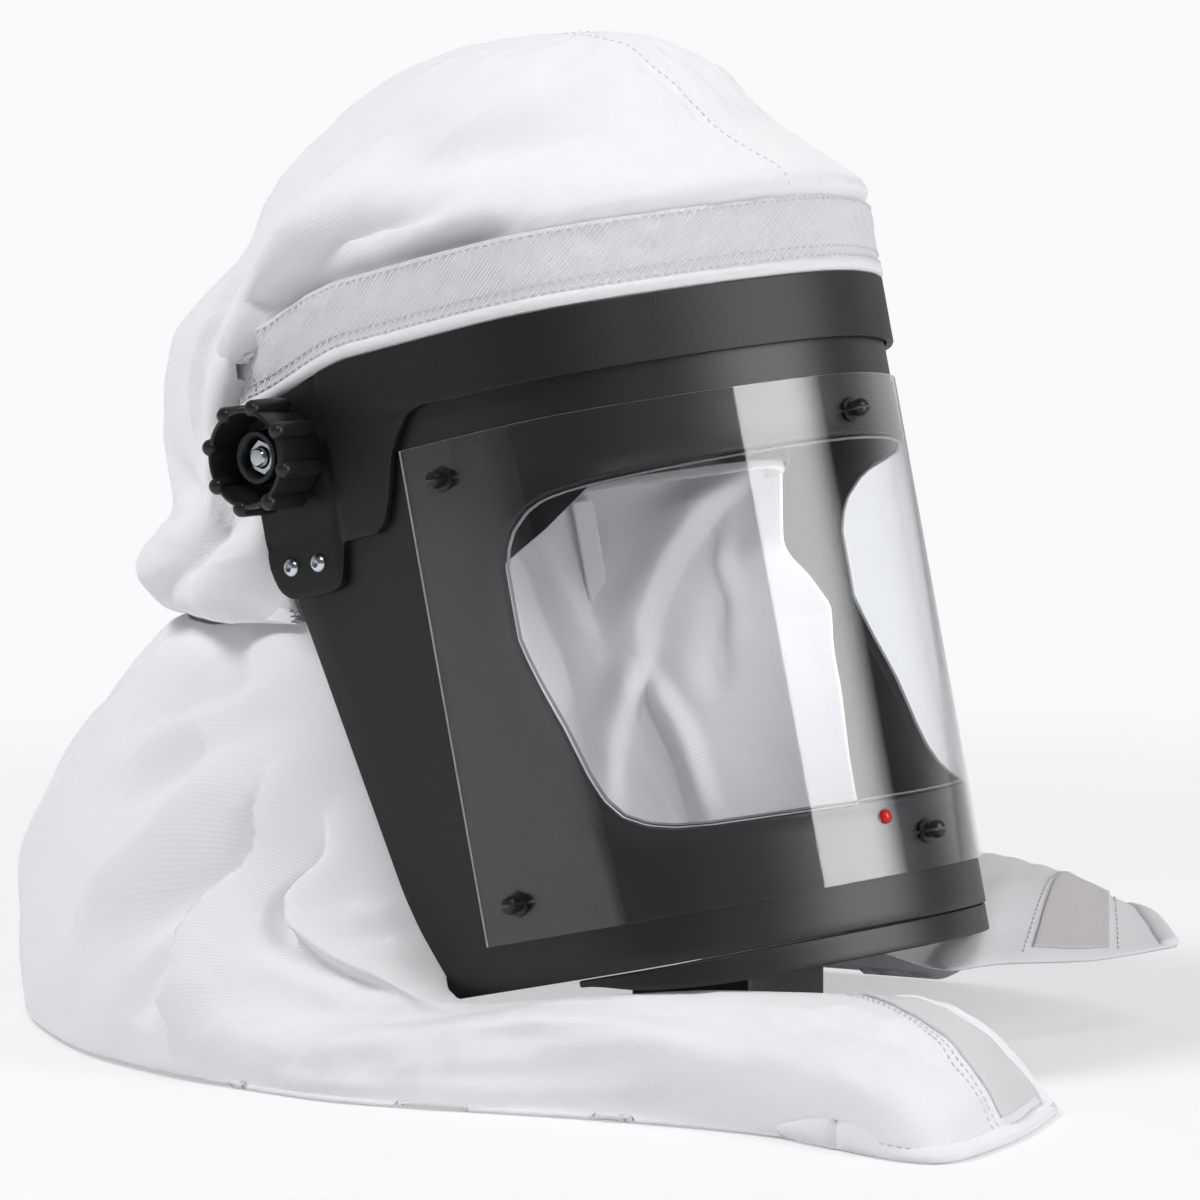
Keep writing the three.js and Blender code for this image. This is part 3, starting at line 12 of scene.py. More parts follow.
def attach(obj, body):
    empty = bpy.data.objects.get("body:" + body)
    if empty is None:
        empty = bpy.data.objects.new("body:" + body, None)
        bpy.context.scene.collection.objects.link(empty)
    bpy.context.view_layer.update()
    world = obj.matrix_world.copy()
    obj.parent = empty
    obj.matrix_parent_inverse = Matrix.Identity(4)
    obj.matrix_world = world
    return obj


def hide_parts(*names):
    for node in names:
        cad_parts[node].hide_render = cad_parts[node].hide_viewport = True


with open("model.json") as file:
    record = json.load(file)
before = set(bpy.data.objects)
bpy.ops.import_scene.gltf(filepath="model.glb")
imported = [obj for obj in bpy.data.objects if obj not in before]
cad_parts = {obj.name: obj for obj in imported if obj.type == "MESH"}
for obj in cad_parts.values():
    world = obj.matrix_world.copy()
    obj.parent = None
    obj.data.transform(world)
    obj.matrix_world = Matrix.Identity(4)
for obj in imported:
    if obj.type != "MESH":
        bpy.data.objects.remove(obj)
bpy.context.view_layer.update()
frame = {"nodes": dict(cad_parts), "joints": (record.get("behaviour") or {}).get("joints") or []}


# Camera: a long lens ahead of the wearer's right shoulder, a little above the chin.
camera = bpy.data.objects.new("camera", bpy.data.cameras.new("camera"))
camera.data.lens = 173.1
camera.data.sensor_width = 36
camera.data.clip_end = 30
camera.location = (-1.4841, -1.1213, 0.3154)
aim = Vector((-0.0192, -0.0067, 0.1437)) - camera.location
camera.rotation_euler = aim.to_track_quat("-Z", "Y").to_euler()
bpy.context.scene.collection.objects.link(camera)
bpy.context.scene.camera = camera


# Face plate: a black nylon moulding that carries everything else. It wraps the face from ear to
# ear, with a large window and a raised seal line round it, and leans back with the head.
LEAN = math.radians(12.8)
FILM_TOP = 199.997
HALF_WIDTH = 90
SECTION = ((0, 0.951), (22.5, 0.936), (45, 0.966), (67.5, 1.04), (90, 1))
PLATE_TOP = 31
PLATE_BOTTOM = -170
WINDOW_ARC = 127.5
WINDOW_TOP = -19.3
WINDOW_HEIGHT = 113
KNOB_ARC = 206
KNOB_LEVEL = 7.3
# the wall is widest by the ears, this far along it, and draws in by this much behind them
EAR_ARC, WALL_TAPER = 139, 0.06
ARM_ARC = KNOB_ARC + 16
# out, top and bottom, as shares of the window's half arc and height
WINDOW = ((0, 0, 1), (0.25, 0.002, 0.997), (0.45, 0.008, 0.99), (0.59, 0.013, 0.985),
          (0.68, 0.018, 0.975), (0.742, 0.022, 0.958), (0.798, 0.028, 0.925), (0.84, 0.035, 0.87),
          (0.868, 0.042, 0.8), (0.91, 0.062, 0.66), (0.96, 0.106, 0.53), (0.985, 0.15, 0.455),
          (1, 0.205, 0.4))
# back and low, as shares of the arm's arc and of the plate's height
PLATE_REAR = ((0.975, 0), (0.975, 0.27), (0.97, 0.345), (0.851, 0.905), (0.836, 0.955),
              (0.817, 0.985), (0.8, 1))


def curve(rows, at, column=1):
    """Value of one column of a table at a place along its first column, on a smooth curve."""
    table = np.array(rows, float)
    keys, values = table[:, 0], table[:, column]
    at = np.clip(at, keys[0], keys[-1])
    i = np.clip(np.searchsorted(keys, at) - 1, 0, len(keys) - 2)
    step = keys[i + 1] - keys[i]
    t = (at - keys[i]) / step
    slope = np.zeros(len(keys))
    slope[1:-1] = (values[2:] - values[:-2]) / (keys[2:] - keys[:-2])
    return (values[i] * (2 * t ** 3 - 3 * t ** 2 + 1) + slope[i] * step * (t ** 3 - 2 * t ** 2 + t)
            + values[i + 1] * (3 * t ** 2 - 2 * t ** 3) + slope[i + 1] * step * (t ** 3 - t ** 2))


def smooth(t):
    """Eases from 0 to 1 while t goes from 0 to 1."""
    s = np.clip(t, 0, 1)
    return s * s * (3 - 2 * s)


bearings = np.radians(np.linspace(0, 90, 261))
reach = HALF_WIDTH * curve(SECTION, np.degrees(bearings))
wall_x = np.append(reach * np.sin(bearings), HALF_WIDTH - WALL_TAPER * np.arange(1, 141))
wall_f = np.append(reach * np.cos(bearings), -np.arange(1, 141))
wall_arc = np.append(0, np.cumsum(np.hypot(np.diff(wall_x), np.diff(wall_f))))
run_x, run_f = np.gradient(wall_x), np.gradient(wall_f)
wall_nx, wall_nf = -run_f / np.hypot(run_x, run_f), run_x / np.hypot(run_x, run_f)


def on_wall(arc, level, offset=0):
    """Points on the frame's wall, standing off it by offset; a negative arc is the wearer's right."""
    arc, level, offset = np.broadcast_arrays(np.asarray(arc, float), level, offset)
    side, length = np.where(arc < 0, -1, 1), np.abs(arc)
    x = np.interp(length, wall_arc, wall_x) + offset * np.interp(length, wall_arc, wall_nx)
    f = np.interp(length, wall_arc, wall_f) + offset * np.interp(length, wall_arc, wall_nf)
    return np.stack([side * x, -f, level], axis=-1)


# The frame leans about the film's top, and the CAD's knob pivots say where that is in the row frame
lean = Matrix.Translation((0, 0, FILM_TOP)) @ Matrix.Rotation(-LEAN, 4, "X")
pivots = {j["name"]: Vector(j["pos_m"]) for j in frame["joints"]}
seat = 0.001 * (lean @ Vector(on_wall(-KNOB_ARC, KNOB_LEVEL)))
UPRIGHT = Matrix.Translation(pivots["knob_right_turn"] - seat) @ Matrix.Scale(0.001, 4)
LEANING = UPRIGHT @ lean


def finish_piece(bm, name, materials, body="hood", sharp=35):
    """Makes the object from its mesh, lets it ride on its body and names its finish."""
    mesh = bpy.data.meshes.new(name)
    bm.to_mesh(mesh)
    bm.free()
    mesh.shade_smooth()
    mesh.set_sharp_from_angle(angle=math.radians(sharp))
    for material in materials:
        mesh.materials.append(material)
    piece = bpy.data.objects.new(name, mesh)
    bpy.context.scene.collection.objects.link(piece)
    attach(piece, body)
    return piece


def grid_of(points, placing, wrap=False):
    """A grid moved onto a table of points, with a UV map in metres along its two directions."""
    columns, rows = points.shape[0] - 1, points.shape[1] - 1
    bm = bmesh.new()
    bmesh.ops.create_grid(bm, x_segments=columns, y_segments=rows, size=0.5)
    lay = bm.loops.layers.uv.new("lay")
    across = np.linalg.norm(np.diff(points, axis=0), axis=2).mean(axis=1)
    along = np.linalg.norm(np.diff(points, axis=1), axis=2).mean(axis=0)
    u = 0.001 * np.append(0, np.cumsum(across))
    v = 0.001 * np.append(0, np.cumsum(along))
    spot = {}
    for vert in bm.verts:
        i = round((vert.co.x + 0.5) * columns)
        j = round((vert.co.y + 0.5) * rows)
        spot[vert.index] = (i, j)
        vert.co = placing @ Vector(points[i, j])
    bm.verts.index_update()
    for face in bm.faces:
        for loop in face.loops:
            i, j = spot[loop.vert.index]
            loop[lay].uv = (u[i], v[j])
    if wrap:
        bmesh.ops.remove_doubles(bm, verts=bm.verts[:], dist=1e-5)
    return bm


def thicken(piece, wall, bevel=0.0, rim_material=0):
    """Gives a sheet its wall, laid to the inside, and rounds its edges."""
    solid = piece.modifiers.new("wall", "SOLIDIFY")
    solid.thickness = 0.001 * wall
    solid.offset = -1
    solid.material_offset_rim = rim_material
    if bevel:
        round_edges(piece, bevel)


def round_edges(piece, width):
    """Rounds the sharp edges of a piece."""
    edge = piece.modifiers.new("edges", "BEVEL")
    edge.width = 0.001 * width
    edge.segments = 2
    edge.limit_method = "ANGLE"
    edge.angle_limit = math.radians(40)


def shaded(name):
    """A new material, its nodes and its links."""
    material = bpy.data.materials.new(name)
    material.use_nodes = True
    return material, material.node_tree.nodes, material.node_tree.links


def fill(node, values):
    """Sets a node's inputs by their names."""
    for socket, value in values.items():
        node.inputs[socket].default_value = value
    return node


def plain(name, color, roughness, metallic=0.0, grain=0.0, scale=600, sheen=0.0):
    """A finish with fine grain in its surface; grain is the bump's strength."""
    material, nodes, links = shaded(name)
    shader = fill(nodes["Principled BSDF"], {
        "Base Color": (*color, 1), "Roughness": roughness, "Metallic": metallic,
        "Sheen Weight": sheen, "Specular IOR Level": 0.35})
    if grain:
        place = nodes.new("ShaderNodeTexCoord")
        noise = fill(nodes.new("ShaderNodeTexNoise"), {"Scale": scale, "Detail": 3})
        bump = fill(nodes.new("ShaderNodeBump"), {"Strength": grain, "Distance": 0.0003})
        links.new(place.outputs["Object"], noise.inputs["Vector"])
        links.new(noise.outputs["Fac"], bump.inputs["Height"])
        links.new(bump.outputs["Normal"], shader.inputs["Normal"])
    return material


def resample(points, count):
    """Evenly spaced points along a line of corners."""
    points = np.array(points, float)
    run = np.append(0, np.cumsum(np.linalg.norm(np.diff(points, axis=0), axis=1)))
    at = np.linspace(0, run[-1], count)
    return np.stack([np.interp(at, run, points[:, k]) for k in range(points.shape[1])], axis=-1)


def half_outline(top, side, bottom):
    """Half of a closed outline from the middle of its top to the middle of its bottom."""
    return np.concatenate([resample(top, 71)[:-1], resample(side, 25)[:-1], resample(bottom, 71)])


shares = np.array(WINDOW)
window_top = np.stack([shares[:, 0] * WINDOW_ARC, WINDOW_TOP - WINDOW_HEIGHT * shares[:, 1]], axis=-1)
window_low = np.stack([shares[:, 0] * WINDOW_ARC, WINDOW_TOP - WINDOW_HEIGHT * shares[:, 2]], axis=-1)
rear = [(ARM_ARC * back, PLATE_TOP - (PLATE_TOP - PLATE_BOTTOM) * low) for back, low in PLATE_REAR]
inner = half_outline(window_top, [window_top[-1], window_low[-1]], window_low[::-1])
outer = half_outline([(0, PLATE_TOP), rear[0]], rear, [rear[-1], (0, PLATE_BOTTOM)])
flip = np.array([-1, 1])
inner = np.concatenate([inner, (inner[:-1] * flip)[::-1]])
outer = np.concatenate([outer, (outer[:-1] * flip)[::-1]])
tangent = np.roll(inner[:-1], -1, axis=0) - np.roll(inner[:-1], 1, axis=0)
tangent = np.concatenate([tangent, tangent[:1]])
away = np.stack([-tangent[:, 1], tangent[:, 0]], axis=-1)
away /= np.linalg.norm(away, axis=1, keepdims=True)
# away from the window's edge, and how far the face stands off the wall there
RIM = ((0, -0.5), (0.5, 0.25), (2.0, 0.25), (2.5, 0))
rings = [on_wall(ring[:, 0], ring[:, 1], lift) for ring, lift in
         [(inner + apart * away, lift) for apart, lift in RIM]]
for share in np.linspace(0.12, 1, 9):
    ring = (inner + RIM[-1][0] * away) * (1 - share) + outer * share
    rings.append(on_wall(ring[:, 0], ring[:, 1], 0))
black_nylon = plain("black_nylon", (0.012, 0.0125, 0.0135), 0.4, grain=0.1, scale=1500)
plate = finish_piece(grid_of(np.stack(rings, axis=1), LEANING, wrap=True), "plate",
                     [black_nylon])
thicken(plate, 3, bevel=0.5)
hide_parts("face_plate")


# Window gasket: a thin clear lip of soft plastic that lines the moulding's edge all round the
# window, and reads as a pale line there.
lip_rings = [on_wall((inner + apart * away)[:, 0], (inner + apart * away)[:, 1], lift)
             for apart, lift in ((-0.9, -0.6), (-0.7, -0.4), (-0.5, -0.6))]
gasket_clear = plain("gasket_clear", (0.35, 0.36, 0.37), 0.25)
gasket = finish_piece(grid_of(np.stack(lip_rings, axis=1), LEANING, wrap=True), "gasket",
                      [gasket_clear])
thicken(gasket, 1.0)


# Chin bar: the plate's deep lip under the chin and the closed shelf that carries the air
# coupling. It is the same moulding in black, set a little back, and smooth all over.
SHELF_ARC, SHELF_WALL, SHELF_TOP = 94, 2.5, -170.35
# arc, and how far the lip reaches below the plate there
CHIN_DROP = ((0, 8.5), (45, 8.5), (80, 8.3), (105, 6), (WINDOW_ARC, 2.1))
arcs = np.linspace(-WINDOW_ARC, WINDOW_ARC, 121)
drop = curve(CHIN_DROP, np.abs(arcs))
steps = np.linspace(0, 1, 5)
lip = on_wall(arcs[:, None], PLATE_BOTTOM - 0.35 - drop[:, None] * (1 - steps), -0.4)
chin = finish_piece(grid_of(lip, LEANING), "chin_lip", [black_nylon])
thicken(chin, 2.4, bevel=0.6)


def move(bm, matrix):
    """Moves a whole mesh."""
    bmesh.ops.transform(bm, matrix=matrix, verts=bm.verts[:])


def raise_faces(bm, faces, height):
    """Extrudes flat faces straight up or down into a closed solid."""
    made = bmesh.ops.extrude_face_region(bm, geom=faces)["geom"]
    moved = [part for part in made if isinstance(part, bmesh.types.BMVert)]
    bmesh.ops.translate(bm, vec=(0, 0, height), verts=moved)
    bmesh.ops.recalc_face_normals(bm, faces=bm.faces[:])


bm = bmesh.new()
rim = [bm.verts.new(place) for place in on_wall(np.linspace(-SHELF_ARC, SHELF_ARC, 61), SHELF_TOP, -3.2)]
for pair in zip(rim, rim[1:] + rim[:1]):
    bm.edges.new(pair)
raise_faces(bm, bmesh.ops.contextual_create(bm, geom=bm.edges[:])["faces"], -SHELF_WALL)
move(bm, LEANING)
shelf_plate = finish_piece(bm, "chin_shelf", [black_nylon])
round_edges(shelf_plate, 0.4)
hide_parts("chin_bar")
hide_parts("chin_bar")


# Air coupling block: a square black box with rounded corners under the shelf; the hood stands
# on it. Its top is cut to the shelf's lean.
BLOCK_WIDTH, BLOCK_DEPTH, BLOCK_FRONT, BLOCK_CUT = 43, 46, 63.5, -173.2
bm = bmesh.new()
bmesh.ops.create_cube(bm, size=1)
move(bm, Matrix.Translation((0, BLOCK_DEPTH / 2 - BLOCK_FRONT, 40))
     @ Matrix.Diagonal((BLOCK_WIDTH, BLOCK_DEPTH, 80, 1)))
shelf = lean @ Vector((0, 0, BLOCK_CUT))
up = (lean.to_3x3() @ Vector((0, 0, 1))).normalized()
bmesh.ops.bisect_plane(bm, geom=bm.verts[:] + bm.edges[:] + bm.faces[:], plane_co=shelf, plane_no=up,
                       clear_outer=True)
bmesh.ops.holes_fill(bm, edges=[e for e in bm.edges if e.is_boundary], sides=8)
bmesh.ops.bevel(bm, geom=bm.edges[:], offset=2.2, segments=3, affect="EDGES", profile=0.5, material=-1)
move(bm, UPRIGHT)
bmesh.ops.recalc_face_normals(bm, faces=bm.faces[:])
block = finish_piece(bm, "coupling_block", [black_nylon])
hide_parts("chin_block")


# Brow band: a thin, matt black plastic band over the plate. Its side arms reach down to the
# clamp knobs and end in tabs; a crease runs down each arm and another across it.
BROW_TOP = 32
ARM_DROP = 70
# the crease down the arm, and where the band above begins to dip
CREASE_ARC, DIP_ARC = 190, 172
# back and low, as shares of the arm's arc and of its drop from the brow band's top
ARM = (
    (0, 0.293), (0.6, 0.293), (0.66, 0.28), (0.688, 0.3), (0.714, 0.38), (0.733, 0.47), (0.747, 0.62),
        (0.764, 0.74), (0.785, 0.79), (0.858, 0.793), (0.8585, 0.89), (0.862, 0.945), (0.87, 0.978),
        (0.883, 0.996), (0.9, 1), (0.955, 1), (0.97, 0.99), (0.983, 0.965), (0.993, 0.92), (1, 0.84))


def droop(arc):
    """The cloth band dips over the arm's rear corner, and the arm's top edge with it."""
    return 9 * smooth((np.abs(arc) - DIP_ARC) / (ARM_ARC - DIP_ARC))


arcs = np.linspace(-ARM_ARC, ARM_ARC, 401)
arm = np.array(ARM)
low = BROW_TOP - ARM_DROP * np.interp(np.abs(arcs) / ARM_ARC, arm[:, 0], arm[:, 1])
low[4:-4] = np.convolve(low, [0.25, 0.5, 0.25], "same")[4:-4]
high = BROW_TOP - droop(arcs)
steps = np.linspace(0, 1, 25)
levels = low[:, None] * (1 - steps) + high[:, None] * steps
back = np.abs(arcs)[:, None]
behind = back - CREASE_ARC
upright_crease = np.exp(-(behind / 1.6) ** 2) * (levels < 30)
cross_crease = np.exp(-((levels - 12.6) / 1.3) ** 2) * smooth((back - 150) / 8) * smooth((2 - behind) / 4)
tab_crease = np.exp(-((levels + 17 + 0.1 * behind) / 1.2) ** 2) * smooth(behind / 4)
stand = 2.95 - 0.7 * upright_crease - 0.45 * cross_crease - 0.45 * tab_crease
brow_plastic = plain("brow_plastic", (0.01, 0.01, 0.011), 0.5, grain=0.25, scale=1500)
brow = finish_piece(grid_of(on_wall(arcs[:, None], levels, stand), LEANING), "brow_and_arms",
                    [brow_plastic])
thicken(brow, 2.4, bevel=0.5)
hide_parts("brow_band")


# Visor film: clear polycarbonate, die cut, bent round the plate and held by six studs through
# its holes. Its cut edges are painted near white, a painted highlight for the light they catch.
FILM_HEIGHT = 155.6
FILM_ARC = 160.5
STUDS = [(arc, level) for arc in (-144.5, 0, 144.5) for level in (-11.5, -144.1)]
arcs = np.linspace(-FILM_ARC, FILM_ARC, 321)
levels = np.linspace(-FILM_HEIGHT, 0, 79)
bm = grid_of(on_wall(arcs[:, None], levels, 1.3), LEANING)
film_clear, nodes, links = shaded("film_clear")
mirror = fill(nodes["Principled BSDF"], {"Base Color": (1, 1, 1, 1), "Metallic": 1, "Roughness": 0.04})
through = fill(nodes.new("ShaderNodeBsdfTransparent"), {"Color": (0.985, 0.99, 0.995, 1)})
glance = fill(nodes.new("ShaderNodeLayerWeight"), {"Blend": 0.5})
# the film mirrors little where it is faced and nearly all at a glance
steepness = nodes.new("ShaderNodeMath")
steepness.operation = "POWER"
steepness.inputs[1].default_value = 5
share = nodes.new("ShaderNodeMath")
share.operation = "MULTIPLY_ADD"
share.inputs[1].default_value = 0.95
share.inputs[2].default_value = 0.026
mix = nodes.new("ShaderNodeMixShader")
links.new(glance.outputs["Facing"], steepness.inputs[0])
links.new(steepness.outputs["Value"], share.inputs[0])
links.new(share.outputs["Value"], mix.inputs["Fac"])
links.new(through.outputs["BSDF"], mix.inputs[1])
links.new(mirror.outputs["BSDF"], mix.inputs[2])
links.new(mix.outputs["Shader"], nodes["Material Output"].inputs["Surface"])
# the cut edges and hole walls are painted near white: a painted highlight for their glint
film_edge_painted_glint = plain("film_edge_painted_glint", (0.9, 0.92, 0.94), 0.15)
film = finish_piece(bm, "film", [film_clear, film_edge_painted_glint])
thicken(film, 0.8, rim_material=1)


def wall_axes(arc, level, offset=0):
    """Matrix that stands a piece on the wall, its Z pointing outwards and its Y up the frame."""
    here = Vector(on_wall(arc, level, offset))
    out = (Vector(on_wall(arc, level, offset + 1)) - here).normalized()
    across = Vector((0, 0, 1)).cross(out)
    axes = Matrix((across, (0, 0, 1), out)).transposed().to_4x4()
    return LEANING @ Matrix.Translation(here) @ axes


def turned(profile, placing, steps):
    """A solid turned about Z from corners of radius and height that run from axis to axis."""
    bm = bmesh.new()
    verts = [bm.verts.new((radius, 0, height)) for radius, height in profile]
    edges = [bm.edges.new(pair) for pair in zip(verts, verts[1:])]
    bmesh.ops.spin(bm, geom=verts + edges, cent=(0, 0, 0), axis=(0, 0, 1), angle=2 * math.pi,
                   steps=steps, use_merge=True)
    bmesh.ops.remove_doubles(bm, verts=bm.verts[:], dist=1e-4)
    bmesh.ops.recalc_face_normals(bm, faces=bm.faces[:])
    move(bm, placing)
    return bm


def add_mesh(bm, other):
    """Adds one mesh to another."""
    mesh = bpy.data.meshes.new("part")
    other.to_mesh(mesh)
    other.free()
    bm.from_mesh(mesh)
    bpy.data.meshes.remove(mesh)


def cut_away(piece, bm):
    """Cuts a body out of a piece, once its wall has been given."""
    tool = finish_piece(bm, "tool", [])
    cutter = piece.modifiers.new("cut", "BOOLEAN")
    cutter.object = tool
    cutter.solver = "EXACT"
    bpy.context.view_layer.update()
    solid = bpy.data.meshes.new_from_object(piece.evaluated_get(bpy.context.evaluated_depsgraph_get()))
    piece.modifiers.clear()
    old, name = piece.data, piece.data.name
    piece.data = solid
    bpy.data.objects.remove(tool)
    bpy.data.meshes.remove(old)
    solid.name = name
    solid.set_sharp_from_angle(angle=math.radians(35))


# arc and level of the bead, which looks out through a hole of its own
BEAD = (-17, -137.5)
holes = bmesh.new()
for arc, level in STUDS:
    add_mesh(holes, turned([(0, -3), (4.15, -3), (4.15, 5), (0, 5)], wall_axes(arc, level), 28))
add_mesh(holes, turned([(0, -3), (2.4, -3), (2.4, 5), (0, 5)], wall_axes(*BEAD), 20))
cut_away(film, holes)
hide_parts("visor_film")


# Snap studs: black nylon split pins with a round foot that the film's holes snap over.
black_gloss = plain("black_gloss", (0.014, 0.014, 0.015), 0.28)
SPLIT = 0.45
stud_names = [f"{side}_{end}" for side in ("right", "centre", "left") for end in ("top", "bottom")]
for (arc, level), spot in zip(STUDS, stud_names):
    bm = turned([(0, 0.3), (3.5, 0.3), (3.75, 0.6), (3.6, 1.3), (2.4, 1.6), (2.3, 2.8), (2.8, 3.8),
                 (2.85, 5.4), (2.5, 6.6), (1.6, 7.3), (0, 7.5)], Matrix.Identity(4), 24)
    halves = bmesh.new()
    for turn in (0, math.pi):
        half = bm.copy()
        bmesh.ops.bisect_plane(half, geom=half.verts[:] + half.edges[:] + half.faces[:],
                               plane_co=(0, SPLIT, 0), plane_no=(0, -1, 0), clear_outer=True)
        bmesh.ops.holes_fill(half, edges=[e for e in half.edges if e.is_boundary], sides=0)
        move(half, Matrix.Rotation(turn, 4, "Z"))
        add_mesh(halves, half)
    bm.free()
    bmesh.ops.recalc_face_normals(halves, faces=halves.faces[:])
    move(halves, wall_axes(arc, level))
    stud = finish_piece(halves, f"pin_{spot}", [black_gloss])
    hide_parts(f"snap_stud_{spot}")


# Indicator bead: a small translucent red plastic dome pressed into the plate below the window,
# which looks out through a hole of its own in the film.
red = plain("bead_red", (0.55, 0.008, 0.012), 0.2)
bead = finish_piece(turned([(0, -1.2), (2.1, -1.2), (2.1, 1.1), (1.75, 1.9), (1.05, 2.35), (0, 2.5)],
                           wall_axes(*BEAD), 24), "bead", [red])
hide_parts("indicator_bead")


# Clamp knobs: black cups with eight finger rods round the rim and a hub tube in the middle.
# Each turns on a zinc bolt, held by a nut inside the hub.
zinc = plain("zinc", (0.62, 0.66, 0.7), 0.24, metallic=1, grain=0.1, scale=500)
KNOB_RADIUS, HUB_RADIUS, CUP_FLOOR = 16.2, 8.4, 6.5
# the knob sits on the arm, this far off the wall
STACK = 3.3
knob_black = plain("knob_black", (0.015, 0.015, 0.016), 0.3, grain=0.12, scale=700)
for side, body in ((-1, "right"), (1, "left")):
    base = wall_axes(side * KNOB_ARC, KNOB_LEVEL, STACK)
    knob = turned([
        (3.4, 0), (13.4, 0), (14.6, 0.5), (15, 1.6), (16, 17.8), (15.8, 19), (15, 19.4), (14.4, 19),
        (14, 17.5), (13.4, CUP_FLOOR + 0.8), (12.8, CUP_FLOOR), (11.4, CUP_FLOOR), (11.1, CUP_FLOOR + 0.35),
        (10.4, CUP_FLOOR + 0.35), (10.1, CUP_FLOOR), (HUB_RADIUS + 0.3, CUP_FLOOR),
        (HUB_RADIUS, CUP_FLOOR + 0.4), (HUB_RADIUS, 13.6), (8.1, 14), (6.9, 14), (6.5, 13.6),
        (6.1, CUP_FLOOR), (3.4, CUP_FLOOR), (3.4, 0)], base, 64)
    for turn in np.radians(22.5 + 45 * np.arange(8)):
        rod = base @ Matrix.Rotation(turn, 4, "Z") @ Matrix.Translation((KNOB_RADIUS - 0.2, 0, 0))
        add_mesh(knob, turned([(0, 1.6), (1.6, 2), (2.5, 3.6), (2.8, 6), (2.8, 17.6), (2.6, 18.8),
                               (2, 19.7), (1.1, 20.2), (0, 20.35)], rod, 16))
    grip = finish_piece(knob, f"grip_{body}", [knob_black], body=f"knob_{body}")
    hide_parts(f"clamp_knob_{body}")
    nut = bmesh.new()
    bmesh.ops.create_circle(nut, cap_ends=False, segments=6, radius=5.75)
    bmesh.ops.create_circle(nut, cap_ends=False, segments=30, radius=3.4)
    raise_faces(nut, bmesh.ops.bridge_loops(nut, edges=nut.edges[:])["faces"], 4.4)
    move(nut, base @ Matrix.Translation((0, 0, CUP_FLOOR + 0.4)))
    piece = finish_piece(nut, f"nut_{body}", [zinc], body=f"knob_{body}")
    round_edges(piece, 0.3)
    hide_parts(f"pivot_nut_{body}")
    bolt = turned([(0, -5.7 - STACK), (5, -5.7 - STACK), (6, -5 - STACK), (6, -2.7 - STACK),
                   (3, -2.7 - STACK), (3, 13), (2.5, 13.6), (0, 13.7)], base, 28)
    piece = finish_piece(bolt, f"bolt_{body}", [zinc])
    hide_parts(f"pivot_bolt_{body}")


# Tab screws: two round-headed zinc screws, each with a socket in its head, hold each arm's tab to
# the plate.
for side, body in ((-1, "right"), (1, "left")):
    for name, back, low in (("front", 0.904, 0.86), ("rear", 0.957, 0.853)):
        base = wall_axes(side * back * ARM_ARC, BROW_TOP - ARM_DROP * low, STACK - 0.3)
        screw = turned([(0, 0), (3, 0), (3, 0.5), (2.6, 1.2), (1.9, 1.75), (1.35, 1.9), (1.25, 1.8),
                        (1.2, 0.7), (0, 0.6)], base, 24)
        piece = finish_piece(screw, f"screw_{name}_{body}", [zinc])
        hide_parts(f"tab_screw_{name}_{body}")


# Head harness and sweatband: a black plastic band round the head with a clip at each side and
# arms to the knobs, and the padded grey band on the brow that is wrapped under its lower edge.
# the harness is an ellipse, with its middle this far behind the frame's
HALF_ACROSS, HALF_ALONG, CENTRE = 74, 78, 35


def round_head(turn, level, grow):
    """Points on the ellipse of the head harness; turn is in degrees from the face to the left ear."""
    angle, level, grow = np.broadcast_arrays(np.radians(turn), level, grow)
    back = CENTRE - (HALF_ALONG + grow) * np.cos(angle)
    return np.stack([(HALF_ACROSS + grow) * np.sin(angle), back, level], axis=-1)


harness_black = plain("harness_black", (0.016, 0.016, 0.018), 0.35, grain=0.15, scale=800)
harness = frame["nodes"]["head_harness"]
harness.data.materials.clear()
harness.data.materials.append(harness_black)
round_edges(harness, 0.4)
turns = np.linspace(-55, 55, 73)
swell = 1.9 * np.sin(np.pi * np.linspace(0, 1, 13)) ** 0.6
levels = np.linspace(-22.5, 7, 13)
pad = round_head(turns[:, None], levels + 0.4 * np.sin(turns[:, None] * 0.11), -0.85 - swell * 0.35)
pad_grey = plain("pad_grey", (0.42, 0.415, 0.42), 0.95, grain=0.6, scale=1600, sheen=0.3)
pad = finish_piece(grid_of(pad, LEANING), "brow_pad", [pad_grey])
thicken(pad, 2.4, bevel=0.9)
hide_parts("sweatband")


# Hood crown: white twill sewn to the band above the brow. It stands up over the head,
# drops behind the arms, folds where it is gathered and ends in a rolled hem over the nape.
CROWN_HALF, CROWN_REAR, CROWN_RISE, HEM = 106, 178, 187, 138
BAND_SEAM = 56.5
# turn, level, side, face and nape: height and reach of each section, from the hem up
CROWN = (
    (0, 0.03, 0.86, -0.46, 0.84), (0.05, 0, 0.93, -0.46, 0.905), (0.1, 0.02, 0.98, -0.46, 0.966),
        (0.16, 0.075, 1, -0.46, 1), (0.22, 0.125, 0.975, -0.46, 0.966),
        (0.27, 0.17, 0.95, -0.46, 0.927), (0.36, 0.28, 0.96, -0.468, 0.943),
        (0.46, 0.41, 0.958, -0.472, 0.952), (0.54, 0.52, 0.935, -0.466, 0.89),
        (0.62, 0.62, 0.885, -0.44, 0.775), (0.7, 0.715, 0.815, -0.39, 0.715),
        (0.78, 0.81, 0.68, -0.29, 0.63), (0.86, 0.895, 0.53, -0.195, 0.515),
        (0.93, 0.96, 0.36, -0.095, 0.37), (0.98, 0.993, 0.17, -0.02, 0.2), (1, 1, 0.02, 0.055, 0.08))
